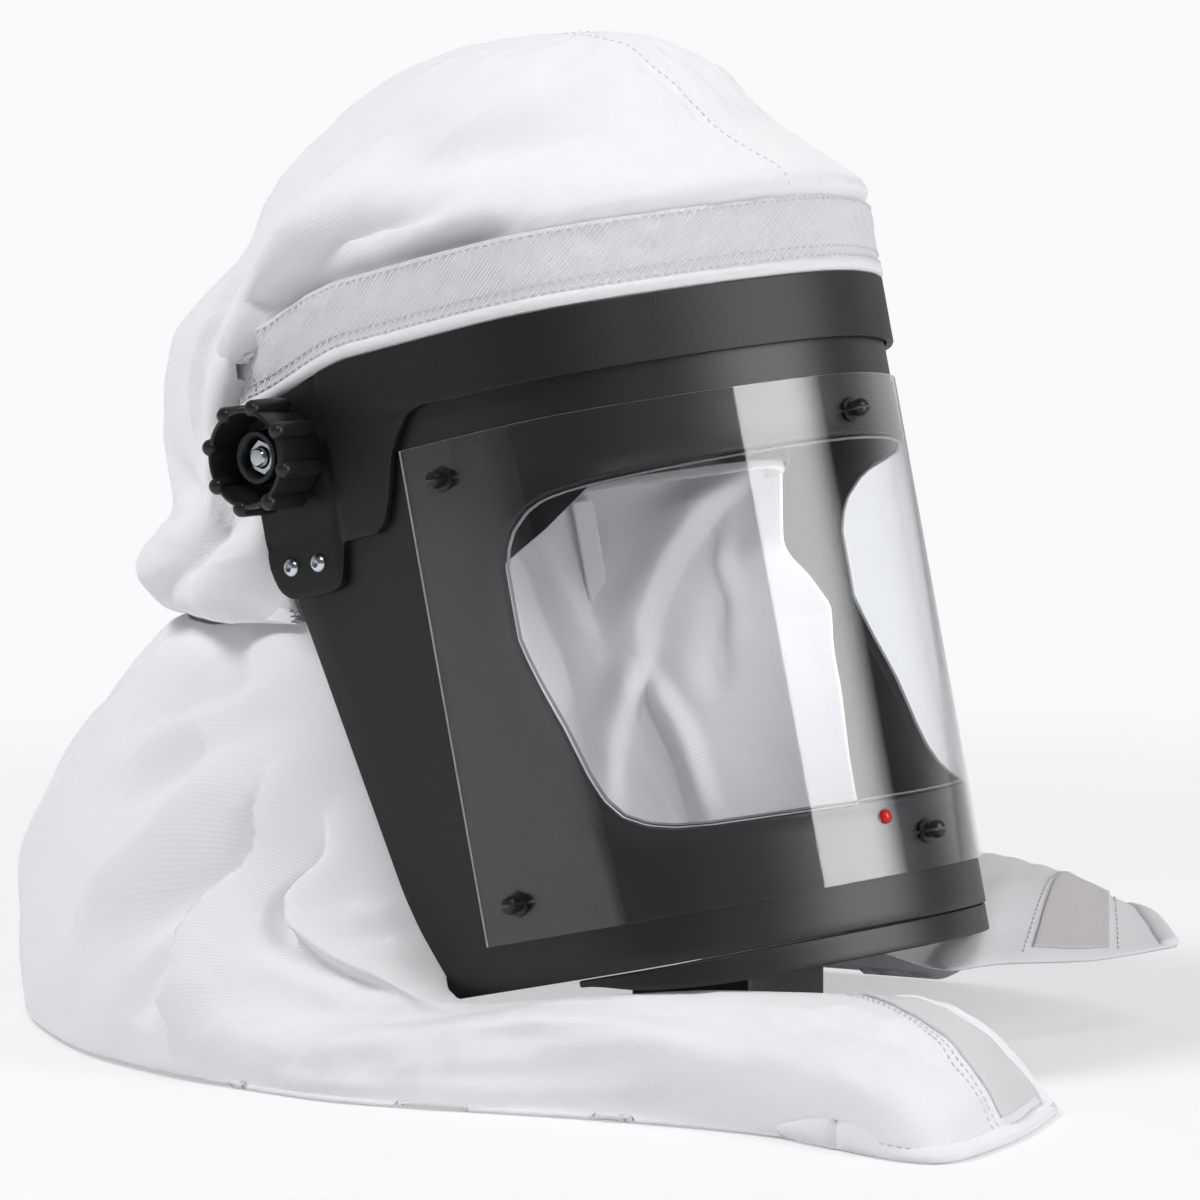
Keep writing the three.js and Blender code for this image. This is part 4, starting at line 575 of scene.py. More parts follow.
# lift, width to the line's left and right, all in mm, and the line's bearings and turns
CROWN_FOLDS = (
    (1.8, 3, 14, ((-60, 0.9), (-74, 0.83), (-88, 0.75), (-100, 0.68))),
    (-10, 13, 8, ((-80, 0.74), (-88, 0.67), (-94, 0.64), (-100, 0.6), (-103, 0.55))),
    (-10, 8, 5, ((-94, 0.64), (-101, 0.58), (-104, 0.52), (-107, 0.45), (-108, 0.4))),
    (-3.5, 8, 8, ((-76, 0.7), (-84, 0.66), (-92, 0.62), (-100, 0.59))),
    (2.5, 7, 7, ((-78, 0.73), (-88, 0.69), (-95, 0.645))),
    (10, 13, 8, ((-102, 0.76), (-106, 0.68), (-110, 0.6), (-112, 0.53), (-113, 0.46), (-116, 0.36))),
    (-5, 7, 4, ((-124, 0.66), (-122, 0.58), (-121, 0.48), (-121, 0.4), (-120, 0.33))),
    (-4, 10, 10, ((-130, 0.5), (-127, 0.4), (-124, 0.31))),
    (-5, 7, 2.5, ((-118, 0.38), (-116, 0.33), (-114, 0.28), (-115, 0.23), (-118, 0.17), (-126, 0.12))),
    (5, 9, 12, ((-120, 0.31), (-122, 0.25), (-128, 0.19), (-136, 0.15))),
    (-3, 5, 5, ((-136, 0.36), (-128, 0.31), (-120, 0.3))),
    (2.2, 10, 8, ((-106, 0.27), (-108, 0.18), (-112, 0.1))),
    (-2, 6, 6, ((-101, 0.26), (-103, 0.12))),
    (1.8, 9, 4, ((-22, 0.97), (-40, 0.92), (-62, 0.86), (-80, 0.8))),
    (-1.6, 10, 10, ((-34, 0.88), (-52, 0.8), (-72, 0.74))),
    (1.4, 10, 10, ((-30, 0.82), (-48, 0.76), (-66, 0.7))),
    (-4, 14, 12, ((-140, 0.72), (-148, 0.55), (-152, 0.38))),
    (4, 14, 12, ((-158, 0.6), (-166, 0.42), (-164, 0.26))),
    (-7, 12, 8, ((88, 0.74), (100, 0.64), (108, 0.52), (111, 0.42))),
    (7, 8, 12, ((104, 0.74), (115, 0.58), (118, 0.38))),
    (-4, 7, 7, ((126, 0.6), (122, 0.44), (120, 0.32))),
    (4.5, 10, 10, ((118, 0.3), (128, 0.2), (136, 0.15))),
    (-4, 12, 12, ((150, 0.68), (144, 0.48), (140, 0.32))),
    (3.5, 14, 14, ((172, 0.62), (178, 0.42), (174, 0.28))),
    (-3, 12, 12, ((-172, 0.8), (178, 0.66), (182, 0.5))),
    (1.8, 12, 6, ((30, 0.92), (56, 0.84), (82, 0.76))),
    (-2, 8, 8, ((34, 0.84), (58, 0.77), (80, 0.7))))


def folded(points, out, rows, place):
    """How far folds lift a cloth at its points; place gives the points of a fold's line."""
    lift = np.zeros(points.shape[:2])
    for height, left, right, line in rows:
        table = np.column_stack([np.arange(len(line)), np.array(line, float)])
        at = np.linspace(0, len(line) - 1, 6 * len(line))
        spots = place(curve(table, at, 1), curve(table, at, 2))
        best = np.full(lift.shape, 1e9)
        side, along = np.zeros(lift.shape), np.zeros(lift.shape)
        for k, (start, run) in enumerate(zip(spots, np.diff(spots, axis=0))):
            offset = points - start
            t = np.clip(offset @ run / (run @ run), 0, 1)
            apart = offset - t[..., None] * run
            far = np.linalg.norm(apart, axis=-1)
            hand = np.sum(np.cross(run, apart) * out, axis=-1)
            closer = far < best
            best = np.where(closer, far, best)
            side = np.where(closer, hand, side)
            along = np.where(closer, (k + t) / (len(spots) - 1), along)
        ends = 0.2 + 0.8 * smooth(along / 0.3) * smooth((1 - along) / 0.3)
        lift += height * ends * np.exp(-(best / np.where(side > 0, left, right)) ** 2)
    return lift


def ripple(a, b, length, seed):
    """Uneven small waves about as long as length, between -1 and 1."""
    chance = np.random.default_rng(seed)
    total = 0
    for _ in range(6):
        angle, phase = chance.uniform(0, 2 * math.pi, 2)
        pace = 2 * math.pi / length * chance.uniform(0.6, 1.5)
        total = total + np.sin(pace * (a * math.cos(angle) + b * math.sin(angle)) + phase)
    return total / 3.5


def outward(points):
    """Normals of a grid of points, on the side that its two directions turn to."""
    out = np.cross(np.gradient(points, axis=0), np.gradient(points, axis=1))
    return out / np.maximum(np.linalg.norm(out, axis=2, keepdims=True), 1e-9)


def push(points, lift):
    """Moves a grid of points off itself by lift."""
    return points + lift[..., None] * outward(points)


def crown_base(bearing, turn):
    """The crown before its folds, upright and from the floor."""
    half, level = CROWN_HALF * curve(CROWN, turn, 2), curve(CROWN, turn, 1)
    face, nape = CROWN_REAR * curve(CROWN, turn, 3), CROWN_REAR * curve(CROWN, turn, 4)
    angle = np.radians(bearing)
    back = (face + nape) / 2 - (nape - face) / 2 * np.cos(angle)
    return np.stack(np.broadcast_arrays(half * np.sin(angle), back, HEM + CROWN_RISE * level), axis=-1)


bearing = np.linspace(-180, 180, 301)[:, None]
turn = np.linspace(0, 0.999, 146)[None, :]
crown = crown_base(bearing, turn)
crest = smooth((1 - turn) / 0.06)
folds = folded(crown, outward(crown), CROWN_FOLDS, crown_base) * smooth(turn / 0.06) * crest
folds[-1] = folds[0] = (folds[0] + folds[-1]) / 2

# small waves, and the seam that runs back over the head to the right of its middle
SEAM_SIDE, SEAM_SLANT = 17, 0.04
side, depth = crown[..., 0], crown[..., 1]
lift = 0.5 * ripple(1.75 * bearing, 290 * turn, 42, 3) + 0.3 * ripple(1.75 * bearing, 290 * turn, 17, 5)
seam_line = np.exp(-((side + SEAM_SIDE + SEAM_SLANT * depth) / 1.5) ** 2) * (depth < 120) * (turn > 0.6)
lift += seam_line * (-1.1 + 0.45 * ripple(depth, side, 12, 8))
lift[-1] = lift[0] = (lift[0] + lift[-1]) / 2
crown = push(crown, lift * crest)

# the frame leans, so depth and height are turned to its own axes to seat the cloth on it
y, z = crown[..., 1], crown[..., 2] - FILM_TOP
back = y * math.cos(LEAN) - z * math.sin(LEAN)
over = y * math.sin(LEAN) + z * math.cos(LEAN)
x, ahead, above_seam = crown[..., 0], -back, over - BAND_SEAM
reach = np.hypot(x, back)
bear = np.degrees(np.arctan2(np.abs(x), ahead))
wall_reach = np.where(ahead > 0, HALF_WIDTH * curve(SECTION, np.clip(bear, 0, 90)),
                      np.hypot(HALF_WIDTH + WALL_TAPER * ahead, ahead))
arc_here = np.where(ahead > 0, bear / 90 * EAR_ARC, EAR_ARC - ahead)

# in front it is pulled in under the band, with small gathers above the seam
gather = ripple(arc_here * np.sign(x), over * 0.3, 19, 11)
tuck = 3.4 - 2.6 * (1 - smooth((above_seam + 1.5 + droop(arc_here)) / 6))
tuck += 0.4 * gather * smooth((above_seam + 2) / 3)
near = 1 - smooth((above_seam - 1) / 30)
fade = smooth((ahead + 86) / 24) * (above_seam > -34)
scale = 1 + ((wall_reach + tuck) / reach - 1) * near * fade
x, back = x * scale, back * scale
lift = 0.4 * gather * smooth(above_seam / 8) * (1 - smooth((above_seam - 8) / 22)) * fade
x, back = x * (1 + lift / reach), back * (1 + lift / reach)

# beside the knobs it is held to the side walls, and past the arms' ends it is let out again
knob = np.hypot(back - on_wall(KNOB_ARC, 0)[1], over - KNOB_LEVEL)
past = smooth((-ahead - 82) / 26) * smooth((knob - KNOB_RADIUS - 2.8 - 4) / 14)
ARM_BACK = 84
side_wall = HALF_WIDTH - WALL_TAPER * ARM_BACK + 1.3
below = 1 - smooth(above_seam / 12)
held = np.sign(x) * np.minimum(np.abs(x), side_wall)
x = np.where(np.abs(x) > side_wall, x + (held - x) * (1 - past) * below, x)
# between these arcs it comes out from inside the arms' rear ends
INSIDE_FROM, OUT_FROM, OUT_TO = 190, 216, 230
arc_now = EAR_ARC + back
behind = smooth((arc_now - OUT_FROM) / 12)
inner_wall = HALF_WIDTH - WALL_TAPER * back - 1.2
x = np.where((arc_now > INSIDE_FROM) & (above_seam < -12) & (arc_now < OUT_TO),
             np.sign(x) * (inner_wall + (np.abs(x) - inner_wall) * behind), x)

# folds rise only where the cloth is free of the band, the arms and the knobs
free = np.maximum(smooth((arc_now - 205) / 12), smooth((above_seam + droop(arc_here) - 4) / 14))
free = free * np.where(knob < 34, smooth((knob - KNOB_RADIUS - 4) / 10), 1)
crown_points = push(np.stack([x, back, over], axis=-1), folds * free)

# the slack corners below the two tabs are ironed smooth, and the cloth that the band and the arms
# hide is cut away
CORNER_BACK, CORNER_LEVEL = (55, 100), (-64, -22)
CUT_ARC, CUT_BELOW = 217.5, 9
bm = grid_of(crown_points, LEANING, wrap=True)
frame_back = LEANING.inverted()
corner = []
for vert in bm.verts:
    spot = frame_back @ vert.co
    if CORNER_BACK[0] < spot.y < CORNER_BACK[1] and CORNER_LEVEL[0] < spot.z < CORNER_LEVEL[1]:
        corner.append(vert)
for _ in range(14):
    bmesh.ops.smooth_vert(bm, verts=corner, factor=0.5, use_axis_x=True, use_axis_y=True, use_axis_z=True)
hidden = []
for found in bm.faces:
    spot = frame_back @ found.calc_center_median()
    arc = EAR_ARC + spot.y if spot.y > 0 else 0
    if arc < CUT_ARC and spot.z < BAND_SEAM - CUT_BELOW - float(droop(arc)):
        hidden.append(found)
bmesh.ops.delete(bm, geom=hidden, context="FACES")


def cloth(name, color, weave, strength, ribs=0.0):
    """White cloth: a twill's ribs at an angle, or at none a plain weave, with a little uneven grain."""
    material, nodes, links = shaded(name)
    shader = fill(nodes["Principled BSDF"], {
        "Base Color": (*color, 1), "Roughness": 0.8, "Sheen Weight": 0.25, "Sheen Roughness": 0.5,
        "Subsurface Weight": 0.05, "Subsurface Radius": (0.004, 0.004, 0.005)})
    place = nodes.new("ShaderNodeUVMap")
    place.uv_map = "lay"
    grain = fill(nodes.new("ShaderNodeTexNoise"), {"Scale": 420, "Detail": 4})
    links.new(place.outputs["UV"], grain.inputs["Vector"])
    height = nodes.new("ShaderNodeMath")
    height.operation = "MULTIPLY"
    height.inputs[1].default_value = 1.6
    links.new(grain.outputs["Fac"], height.inputs[0])
    for angle in ([ribs] if ribs else [0, math.pi / 2]):
        tilt = fill(nodes.new("ShaderNodeMapping"), {"Rotation": (0, 0, angle)})
        wave = fill(nodes.new("ShaderNodeTexWave"), {"Scale": weave, "Distortion": 0.6})
        both = nodes.new("ShaderNodeMath")
        links.new(place.outputs["UV"], tilt.inputs["Vector"])
        links.new(tilt.outputs["Vector"], wave.inputs["Vector"])
        links.new(height.outputs["Value"], both.inputs[0])
        links.new(wave.outputs["Fac"], both.inputs[1])
        height = both
    bump = fill(nodes.new("ShaderNodeBump"), {"Strength": strength, "Distance": 0.00025})
    links.new(height.outputs["Value"], bump.inputs["Height"])
    links.new(bump.outputs["Normal"], shader.inputs["Normal"])
    return material


white_cloth = cloth("white_cloth", (0.8, 0.803, 0.825), 290, 0.2, ribs=0.9)
crown = finish_piece(bm, "crown", [white_cloth], sharp=180)
thicken(crown, 1.2)
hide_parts("hood_crown")


# Band: a strip of ribbed white twill that is sewn to the crown's edge, a little puckered, and lies
# on the brow band and the arms.
arcs = np.linspace(-ARM_ARC, ARM_ARC, 361)[:, None]
steps = np.linspace(0, 1, 15)[None, :]
low, high = BROW_TOP + 3.6, BAND_SEAM
levels = low + (high - low) * steps - droop(arcs)
pucker = ripple(arcs, 25 * steps, 15, 21) * smooth((steps - 0.2) / 0.3)
stand = 3.1 + 0.45 * pucker
stand += -0.5 * np.exp(-((steps - 0.16) / 0.05) ** 2) - 0.7 * smooth((steps - 0.93) / 0.07)
stand += 0.5 * np.exp(-((ARM_ARC - np.abs(arcs)) / 3) ** 2)
twill = cloth("band_twill", (0.7, 0.705, 0.73), 300, 0.7, ribs=0.9)
band = finish_piece(grid_of(on_wall(arcs, levels, stand), LEANING), "band", [twill],
                    sharp=180)
thicken(band, 1.7, bevel=0.4)
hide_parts("crown_band")


# Stitches: short runs of white thread in two rows along the band's foot, one along its top, one
# across each end, and one along the crown's seam. Their sizes are in metres.
STITCH_PITCH, STITCH_RADIUS = 0.003, 0.00034
thread = plain("thread", (0.62, 0.62, 0.64), 0.6, grain=0.4, scale=3000, sheen=0.2)


def sewn(name, lines, placing):
    """Stitches of thread along lines of points."""
    bm = bmesh.new()
    for points in lines:
        spots = resample([placing @ Vector(point) for point in points], 400)
        run = np.append(0, np.cumsum(np.linalg.norm(np.diff(spots, axis=0), axis=1)))
        for k in range(int(run[-1] / STITCH_PITCH)):
            at = STITCH_PITCH * k + np.array([0.15, 0.85]) * STITCH_PITCH
            start, end = np.stack([np.interp(at, run, spots[:, i]) for i in range(3)], axis=-1)
            middle, along = Vector((start + end) / 2), Vector(end - start)
            place = Matrix.Translation(middle) @ along.to_track_quat("X", "Z").to_matrix().to_4x4()
            place = place @ Matrix.Diagonal((along.length / 2, STITCH_RADIUS, STITCH_RADIUS, 1))
            bmesh.ops.create_uvsphere(bm, u_segments=6, v_segments=4, radius=1, matrix=place)
    return finish_piece(bm, name, [thread], sharp=60)


band_points = on_wall(arcs, levels, stand + 0.1)
band_lines = [band_points[:, row] for row in (13, 1, 3)] + [band_points[end, 1:14] for end in (6, -7)]
sewn("band_stitches", band_lines, LEANING)
seam_spots = []
for row in range(crown_points.shape[1]):
    front = crown_points[np.abs(bearing[:, 0]) < 91, row]
    front = front[np.argsort(front[:, 0])]
    spot = [0, 0, 0]
    # the seam slants, so its place across and its depth are found in turns
    for _ in range(3):
        across = 1.8 - SEAM_SIDE - SEAM_SLANT * spot[1]
        spot = [np.interp(across, front[:, 0], front[:, i]) for i in range(3)]
    if spot[2] > BAND_SEAM + 2 and spot[1] < 60:
        seam_spots.append(spot)
sewn("crown_stitches", [seam_spots], LEANING)


# Binding: smooth white tape that is wrapped round the band's lower edge and clips over the brow
# band.
steps = np.linspace(0, 1, 9)[None, :]
levels = BROW_TOP + 0.2 + 4.6 * steps - droop(arcs)
stand = 2.2 + 1.5 * np.sin(np.pi * steps) ** 0.5 + 0.12 * ripple(arcs, 0 * steps, 9, 23)
bound = cloth("bound_white", (0.8, 0.805, 0.825), 700, 0.25)
binding = finish_piece(grid_of(on_wall(arcs, levels, stand), LEANING), "binding", [bound],
                       sharp=180)
thicken(binding, 1.4, bevel=0.4)
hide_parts("edge_binding")


# Neck cape: the same white cloth, sewn to the frame's lower edge and round the neck. It falls
# in deep folds behind the wearer's right ear and ends in two flaps that lie open in front.
CAPE_HALF, CAPE_REAR, CAPE_FRONT, CAPE_TOP, FOLD_DEPTH = 140, 226, 194, 135.8, 1.3
# go, neck x and y, level, hem x and y, foot, swell and puff, as in the CAD's cape
CAPE = (
    (0, -0.2, -0.53, 0.215, -0.17, -0.79, 0, 0.03, 0.1),
    (0.05, -0.27, -0.5, 0.235, -0.5, -0.855, 0, 0.03, 0.3),
    (0.1, -0.37, -0.442, 0.245, -0.8, -0.85, 0, 0.04, 0.5),
    (0.16, -0.51, -0.35, 0.25, -0.755, -0.58, 0, 0.05, 0.9),
    (0.22, -0.655, -0.23, 0.235, -0.82, -0.34, 0, 0.05, 1),
    (0.29, -0.66, -0.02, 0.2, -0.99, 0, 0, 0.03, 1),
    (0.335, -0.59, 0.045, 0.32, -1, 0.15, 0, 0, 1),
    (0.375, -0.575, 0.133, 0.62, -0.97, 0.34, 0, 0, 1),
    (0.41, -0.58, 0.25, 1, -0.86, 0.55, 0, 0, 1),
    (0.45, -0.57, 0.46, 1, -0.58, 0.8, 0, 0, 1),
    (0.5, -0.34, 0.61, 1, -0.26, 0.95, 0, 0, 1),
    (0.54, 0, 0.66, 1, 0.08, 0.95, 0, 0, 1),
    (0.58, 0.34, 0.61, 1, 0.44, 0.88, 0, 0, 1),
    (0.62, 0.57, 0.46, 1, 0.76, 0.73, 0, 0, 1),
    (0.66, 0.58, 0.25, 1, 0.95, 0.53, 0, 0, 1),
    (0.7, 0.575, 0.133, 0.62, 1.07, 0.32, 0, 0, 1),
    (0.74, 0.59, 0.045, 0.32, 1.14, 0.13, 0, 0.05, 1),
    (0.79, 0.64, -0.06, 0.21, 1.19, -0.03, 0, 0.13, 0.8),
    (0.84, 0.5, -0.23, 0.19, 1.22, -0.13, 0.1, 0.19, 0.6),
    (0.88, 0.34, -0.4, 0.2, 1.22, -0.2, 0.2, 0.16, 0.5),
    (0.92, 0.5, -0.445, 0.2, 1.21, -0.26, 0.22, 0.14, 0.5),
    (0.96, 0.75, -0.495, 0.185, 1.2, -0.33, 0.21, 0.1, 0.4),
    (1, 1, -0.535, 0.195, 1.17, -0.4, 0.21, 0.04, 0.3))
# down, and how far the cloth has dropped and gone out by then
FALL = ((0, 0, 0), (0.12, 0.05, 0.2), (0.25, 0.15, 0.4), (0.38, 0.27, 0.6), (0.5, 0.4, 0.76),
        (0.65, 0.58, 0.93), (0.8, 0.76, 1.02), (0.92, 0.92, 1.02), (1, 1, 1))
# lift, width to the line's left and right, all in mm, and the line's shares of go and down
CAPE_FOLDS = (
    (-7, 11, 9, ((0.434, 0.36), (0.42, 0.27), (0.41, 0.2))),
    (5, 8, 8, ((0.425, 0.44), (0.412, 0.34), (0.402, 0.24), (0.404, 0.16))),
    (-5, 12, 10, ((0.418, 0.5), (0.408, 0.42), (0.402, 0.33))),
    (5, 9, 9, ((0.404, 0.5), (0.396, 0.34), (0.391, 0.2), (0.387, 0.08))),
    (5, 7, 12, ((0.416, 0.82), (0.403, 0.64), (0.395, 0.46), (0.389, 0.3), (0.385, 0.14))),
    (-8, 10, 13, ((0.4, 0.74), (0.391, 0.56), (0.385, 0.4), (0.382, 0.28))),
    (7, 2.6, 13, ((0.37, 0.78), (0.372, 0.62), (0.376, 0.46), (0.379, 0.34), (0.384, 0.22),
        (0.387, 0.1))),
    (-8, 8, 8, ((0.377, 0.16), (0.372, 0.28), (0.367, 0.38), (0.357, 0.4))),
    (5, 12, 3, ((0.377, 0.1), (0.371, 0.21), (0.366, 0.3), (0.358, 0.35), (0.34, 0.3), (0.32, 0.2),
        (0.3, 0.13))),
    (-3.5, 6, 6, ((0.368, 0.5), (0.358, 0.45), (0.34, 0.36), (0.315, 0.24))),
    (-7, 9, 11, ((0.36, 0.6), (0.345, 0.54), (0.325, 0.46), (0.3, 0.34), (0.278, 0.27), (0.25, 0.22))),
    (4, 9, 11, ((0.345, 0.64), (0.32, 0.56), (0.285, 0.42), (0.24, 0.4), (0.19, 0.5), (0.14, 0.62))),
    (3, 6, 6, ((0.372, 0.8), (0.368, 0.7), (0.362, 0.6))),
    (-3, 8, 8, ((0.385, 0.86), (0.38, 0.74), (0.376, 0.62))),
    (-4, 12, 12, ((0.345, 0.86), (0.31, 0.8), (0.27, 0.74))),
    (-4, 9, 9, ((0.24, 0.3), (0.2, 0.34), (0.15, 0.4), (0.1, 0.42))),
    (2.5, 4, 4, ((0.352, 0.22), (0.345, 0.1))),
    (2, 3.5, 3.5, ((0.34, 0.24), (0.33, 0.1))),
    (-2, 4, 4, ((0.348, 0.3), (0.338, 0.14))),
    (-4, 14, 14, ((0.26, 0.66), (0.21, 0.74), (0.15, 0.8))),
    (3, 8, 12, ((0.22, 0.6), (0.16, 0.7), (0.1, 0.78))),
    (-2.5, 8, 8, ((0.12, 0.3), (0.08, 0.5), (0.06, 0.7))),
    (2, 8, 8, ((0.1, 0.2), (0.07, 0.4))),
    (-7, 16, 12, ((0.47, 0.12), (0.478, 0.4), (0.49, 0.8))),
    (5, 9, 11, ((0.455, 0.2), (0.46, 0.5), (0.462, 0.8))),
    (5, 12, 10, ((0.52, 0.1), (0.525, 0.4), (0.53, 0.75))),
    (-5, 12, 12, ((0.545, 0.2), (0.55, 0.5), (0.56, 0.85))),
    (5, 12, 12, ((0.57, 0.15), (0.575, 0.5), (0.58, 0.8))),
    (-6, 10, 12, ((0.595, 0.1), (0.6, 0.4), (0.61, 0.75))),
    (5, 10, 10, ((0.63, 0.1), (0.63, 0.4), (0.63, 0.75))),
    (-6, 12, 12, ((0.655, 0.15), (0.65, 0.45), (0.65, 0.75))),
    (6, 10, 12, ((0.68, 0.15), (0.675, 0.45), (0.68, 0.75))),
    (-6, 12, 10, ((0.705, 0.15), (0.7, 0.4), (0.7, 0.7))),
    (4, 12, 12, ((0.73, 0.2), (0.735, 0.5), (0.75, 0.8))),
    (-4, 12, 12, ((0.77, 0.2), (0.78, 0.5), (0.8, 0.75))),
    (3, 12, 12, ((0.82, 0.25), (0.85, 0.5), (0.88, 0.7))),
    (-2.5, 10, 10, ((0.85, 0.25), (0.89, 0.45), (0.93, 0.6))))


def cape_base(go, down):
    """The cape before its folds, upright and from the floor."""
    value = {name: curve(CAPE, go, k + 1) for k, name in
             enumerate(("nx", "ny", "level", "hx", "hy", "foot", "swell", "puff"))}
    reach = {k: np.where(value[k] < 0, CAPE_FRONT * value[k] / 0.855, CAPE_REAR * value[k] / 0.97)
             for k in ("ny", "hy")}
    drop, out = curve(FALL, down, 1), down + (curve(FALL, down, 2) - down) * value["puff"]
    sink = down ** 2 + (drop - down ** 2) * value["puff"]
    top, foot = CAPE_TOP * value["level"], HEM * value["foot"]
    x = CAPE_HALF * (value["nx"] + (value["hx"] - value["nx"]) * out)
    y = reach["ny"] + (reach["hy"] - reach["ny"]) * out
    z = top + (foot - top) * sink + HEM * value["swell"] * np.sin(np.pi * down)
    return np.stack(np.broadcast_arrays(x, y, z), axis=-1)


def cape_at(go, down):
    """The cape's outer face with its folds and small waves."""
    base = cape_base(go, down)
    lift = FOLD_DEPTH * folded(base, outward(base), CAPE_FOLDS, cape_base)
    lift *= smooth(down / 0.1) * smooth((1 - down) / 0.08)
    waves = 0.7 * ripple(1300 * go, 150 * down, 46, 31) + 0.35 * ripple(1300 * go, 150 * down, 19, 33)
    lift += waves * smooth(down / 0.1) * smooth((1 - down) / 0.06)
    spread = cape_base(go, 1 + 0 * down) - cape_base(go, 0 * down)
    spread[..., 2] = 0
    spread /= np.linalg.norm(spread, axis=-1, keepdims=True)
    spread[..., 2] = 0.45
    points = base + lift[..., None] * spread
    points[..., 2] = np.maximum(points[..., 2], 1.6)
    return points


# the grid is finer where the folds behind the right ear are tight
LAST = 418
COLUMNS = ((0, 0), (72, 0.2), (268, 0.45), (358, 0.8), (LAST, 1))
go = np.interp(np.arange(LAST + 1), *np.array(COLUMNS, float).T)[:, None]
down = np.linspace(0, 1, 113)[None, :]
cape_points = cape_at(go, down)
cape = finish_piece(grid_of(cape_points, UPRIGHT), "cape", [white_cloth], sharp=180)
thicken(cape, 1.2)
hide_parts("neck_cape")


# Hems: the flaps' ends and front edges are rolled over and sewn down, with more rows of stitches
# beside the fastening tapes.
HEM_WIDE, HEM_THICK = 4.4, 2.3
# the columns of the cape's grid up to which the near flap goes, and from which the far one does
NEAR_FLAP, FAR_FLAP = 58, 362


def hem(name, edge, inward):
    """A rolled hem along an edge of the cape, closed at both ends."""
    inward = np.stack([np.convolve(np.pad(inward[:, i], 4, mode="edge"), np.ones(9) / 9, "valid")
                       for i in range(3)], axis=-1)
    inward /= np.linalg.norm(inward, axis=1, keepdims=True)
    along = np.gradient(edge, axis=0)
    along /= np.linalg.norm(along, axis=1, keepdims=True)
    over = np.cross(along, inward)
    over *= np.sign(over[:, 2:3])
    from_end = np.minimum(np.arange(len(edge)), np.arange(len(edge))[::-1])
    size = np.sqrt(np.clip(from_end / 4, 0, 1))[:, None, None]
    round_turn = np.linspace(0, 2 * np.pi, 15)[None, :, None]
    middle = edge + 3 * inward - 0.3 * over
    middle[:, 2] = np.maximum(middle[:, 2], HEM_THICK + 0.2)
    rings = middle[:, None] + size * (HEM_WIDE * np.cos(round_turn) * inward[:, None]
                                      + HEM_THICK * np.sin(round_turn) * over[:, None])
    bm = grid_of(rings, UPRIGHT, wrap=True)
    bmesh.ops.recalc_face_normals(bm, faces=bm.faces[:])
    return finish_piece(bm, name, [white_cloth], sharp=180)


def cape_edge(end, columns):
    """Points and inward directions along an end of the cape and on along its lower edge."""
    side, side_in = cape_points[end], cape_points[end - 4 if end else 4] - cape_points[end]
    foot, foot_in = cape_points[columns, -1], cape_points[columns, -5] - cape_points[columns, -1]
    return np.concatenate([side, foot]), np.concatenate([side_in, foot_in])


def on_top(points):
    """The same grid just off the cloth, where its stitches lie."""
    return push(points, 0.15 + np.zeros(points.shape[:2]))


near_hem = hem("hem_right", *cape_edge(0, np.arange(1, NEAR_FLAP)))
far_hem = hem("hem_left", *cape_edge(LAST, np.arange(LAST - 1, FAR_FLAP, -1)))
down = np.linspace(0.04, 0.94, 60)[None, :]
flap_lines = [on_top(cape_at(np.array([[share], [share + 0.002]]), down))[0]
              for share in (0.0085, 0.0545, 0.0585, 0.926, 0.969)]
flap_lines += [on_top(cape_points)[2:NEAR_FLAP, -8], on_top(cape_points)[FAR_FLAP + 2:-2, -8]]
flap_stitches = sewn("flap_stitches", flap_lines, UPRIGHT)


# Fastening tapes: a strip of hooks on the wearer's right flap and of loop pile on the left one,
# sewn down near the flaps' ends.
hooks = plain("hooks", (0.66, 0.65, 0.665), 0.7, grain=1, scale=1500)
pile = plain("loops", (0.62, 0.58, 0.6), 1, grain=1, scale=900, sheen=0.6)
for name, start, end, material, slot, node, flat in (
        ("hook_strip", 0.012, 0.05, hooks, "hook_tape", "hook_patch", (0.03, 0.08)),
        ("loop_strip", 0.93, 0.965, pile, "loop_pile", "loop_patch", (0.02, 0.08))):
    go = np.linspace(start, end, 15)[:, None]
    down = np.linspace(0.06, 0.9, 61)[None, :]
    patch = push(cape_at(go, down), 1.1 + 0 * (go + down))
    patch = finish_piece(grid_of(patch, UPRIGHT), name, [material], sharp=180)
    thicken(patch, 1.0, bevel=0.2)
    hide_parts(node)


# Inner neck cloth: thin white cloth that hangs from the head harness inside the hood and closes
# the space behind the wearer's cheek, with one loose fold in front.
LINING_TOP, LINING_FALL = -10, 128
# depth and the turn at which the front edge is
INNER_EDGE = ((0, 40), (0.26, 40), (0.42, 56), (0.66, 60), (1, 62))
below = np.linspace(0, 1, 121)[None, ::-1]
across = np.linspace(0, 1, 241)[:, None]
turns = 250 + (curve(INNER_EDGE, below) - 250) * (1 - across)
inset = 0.9 + 5 * smooth(below / 0.35)
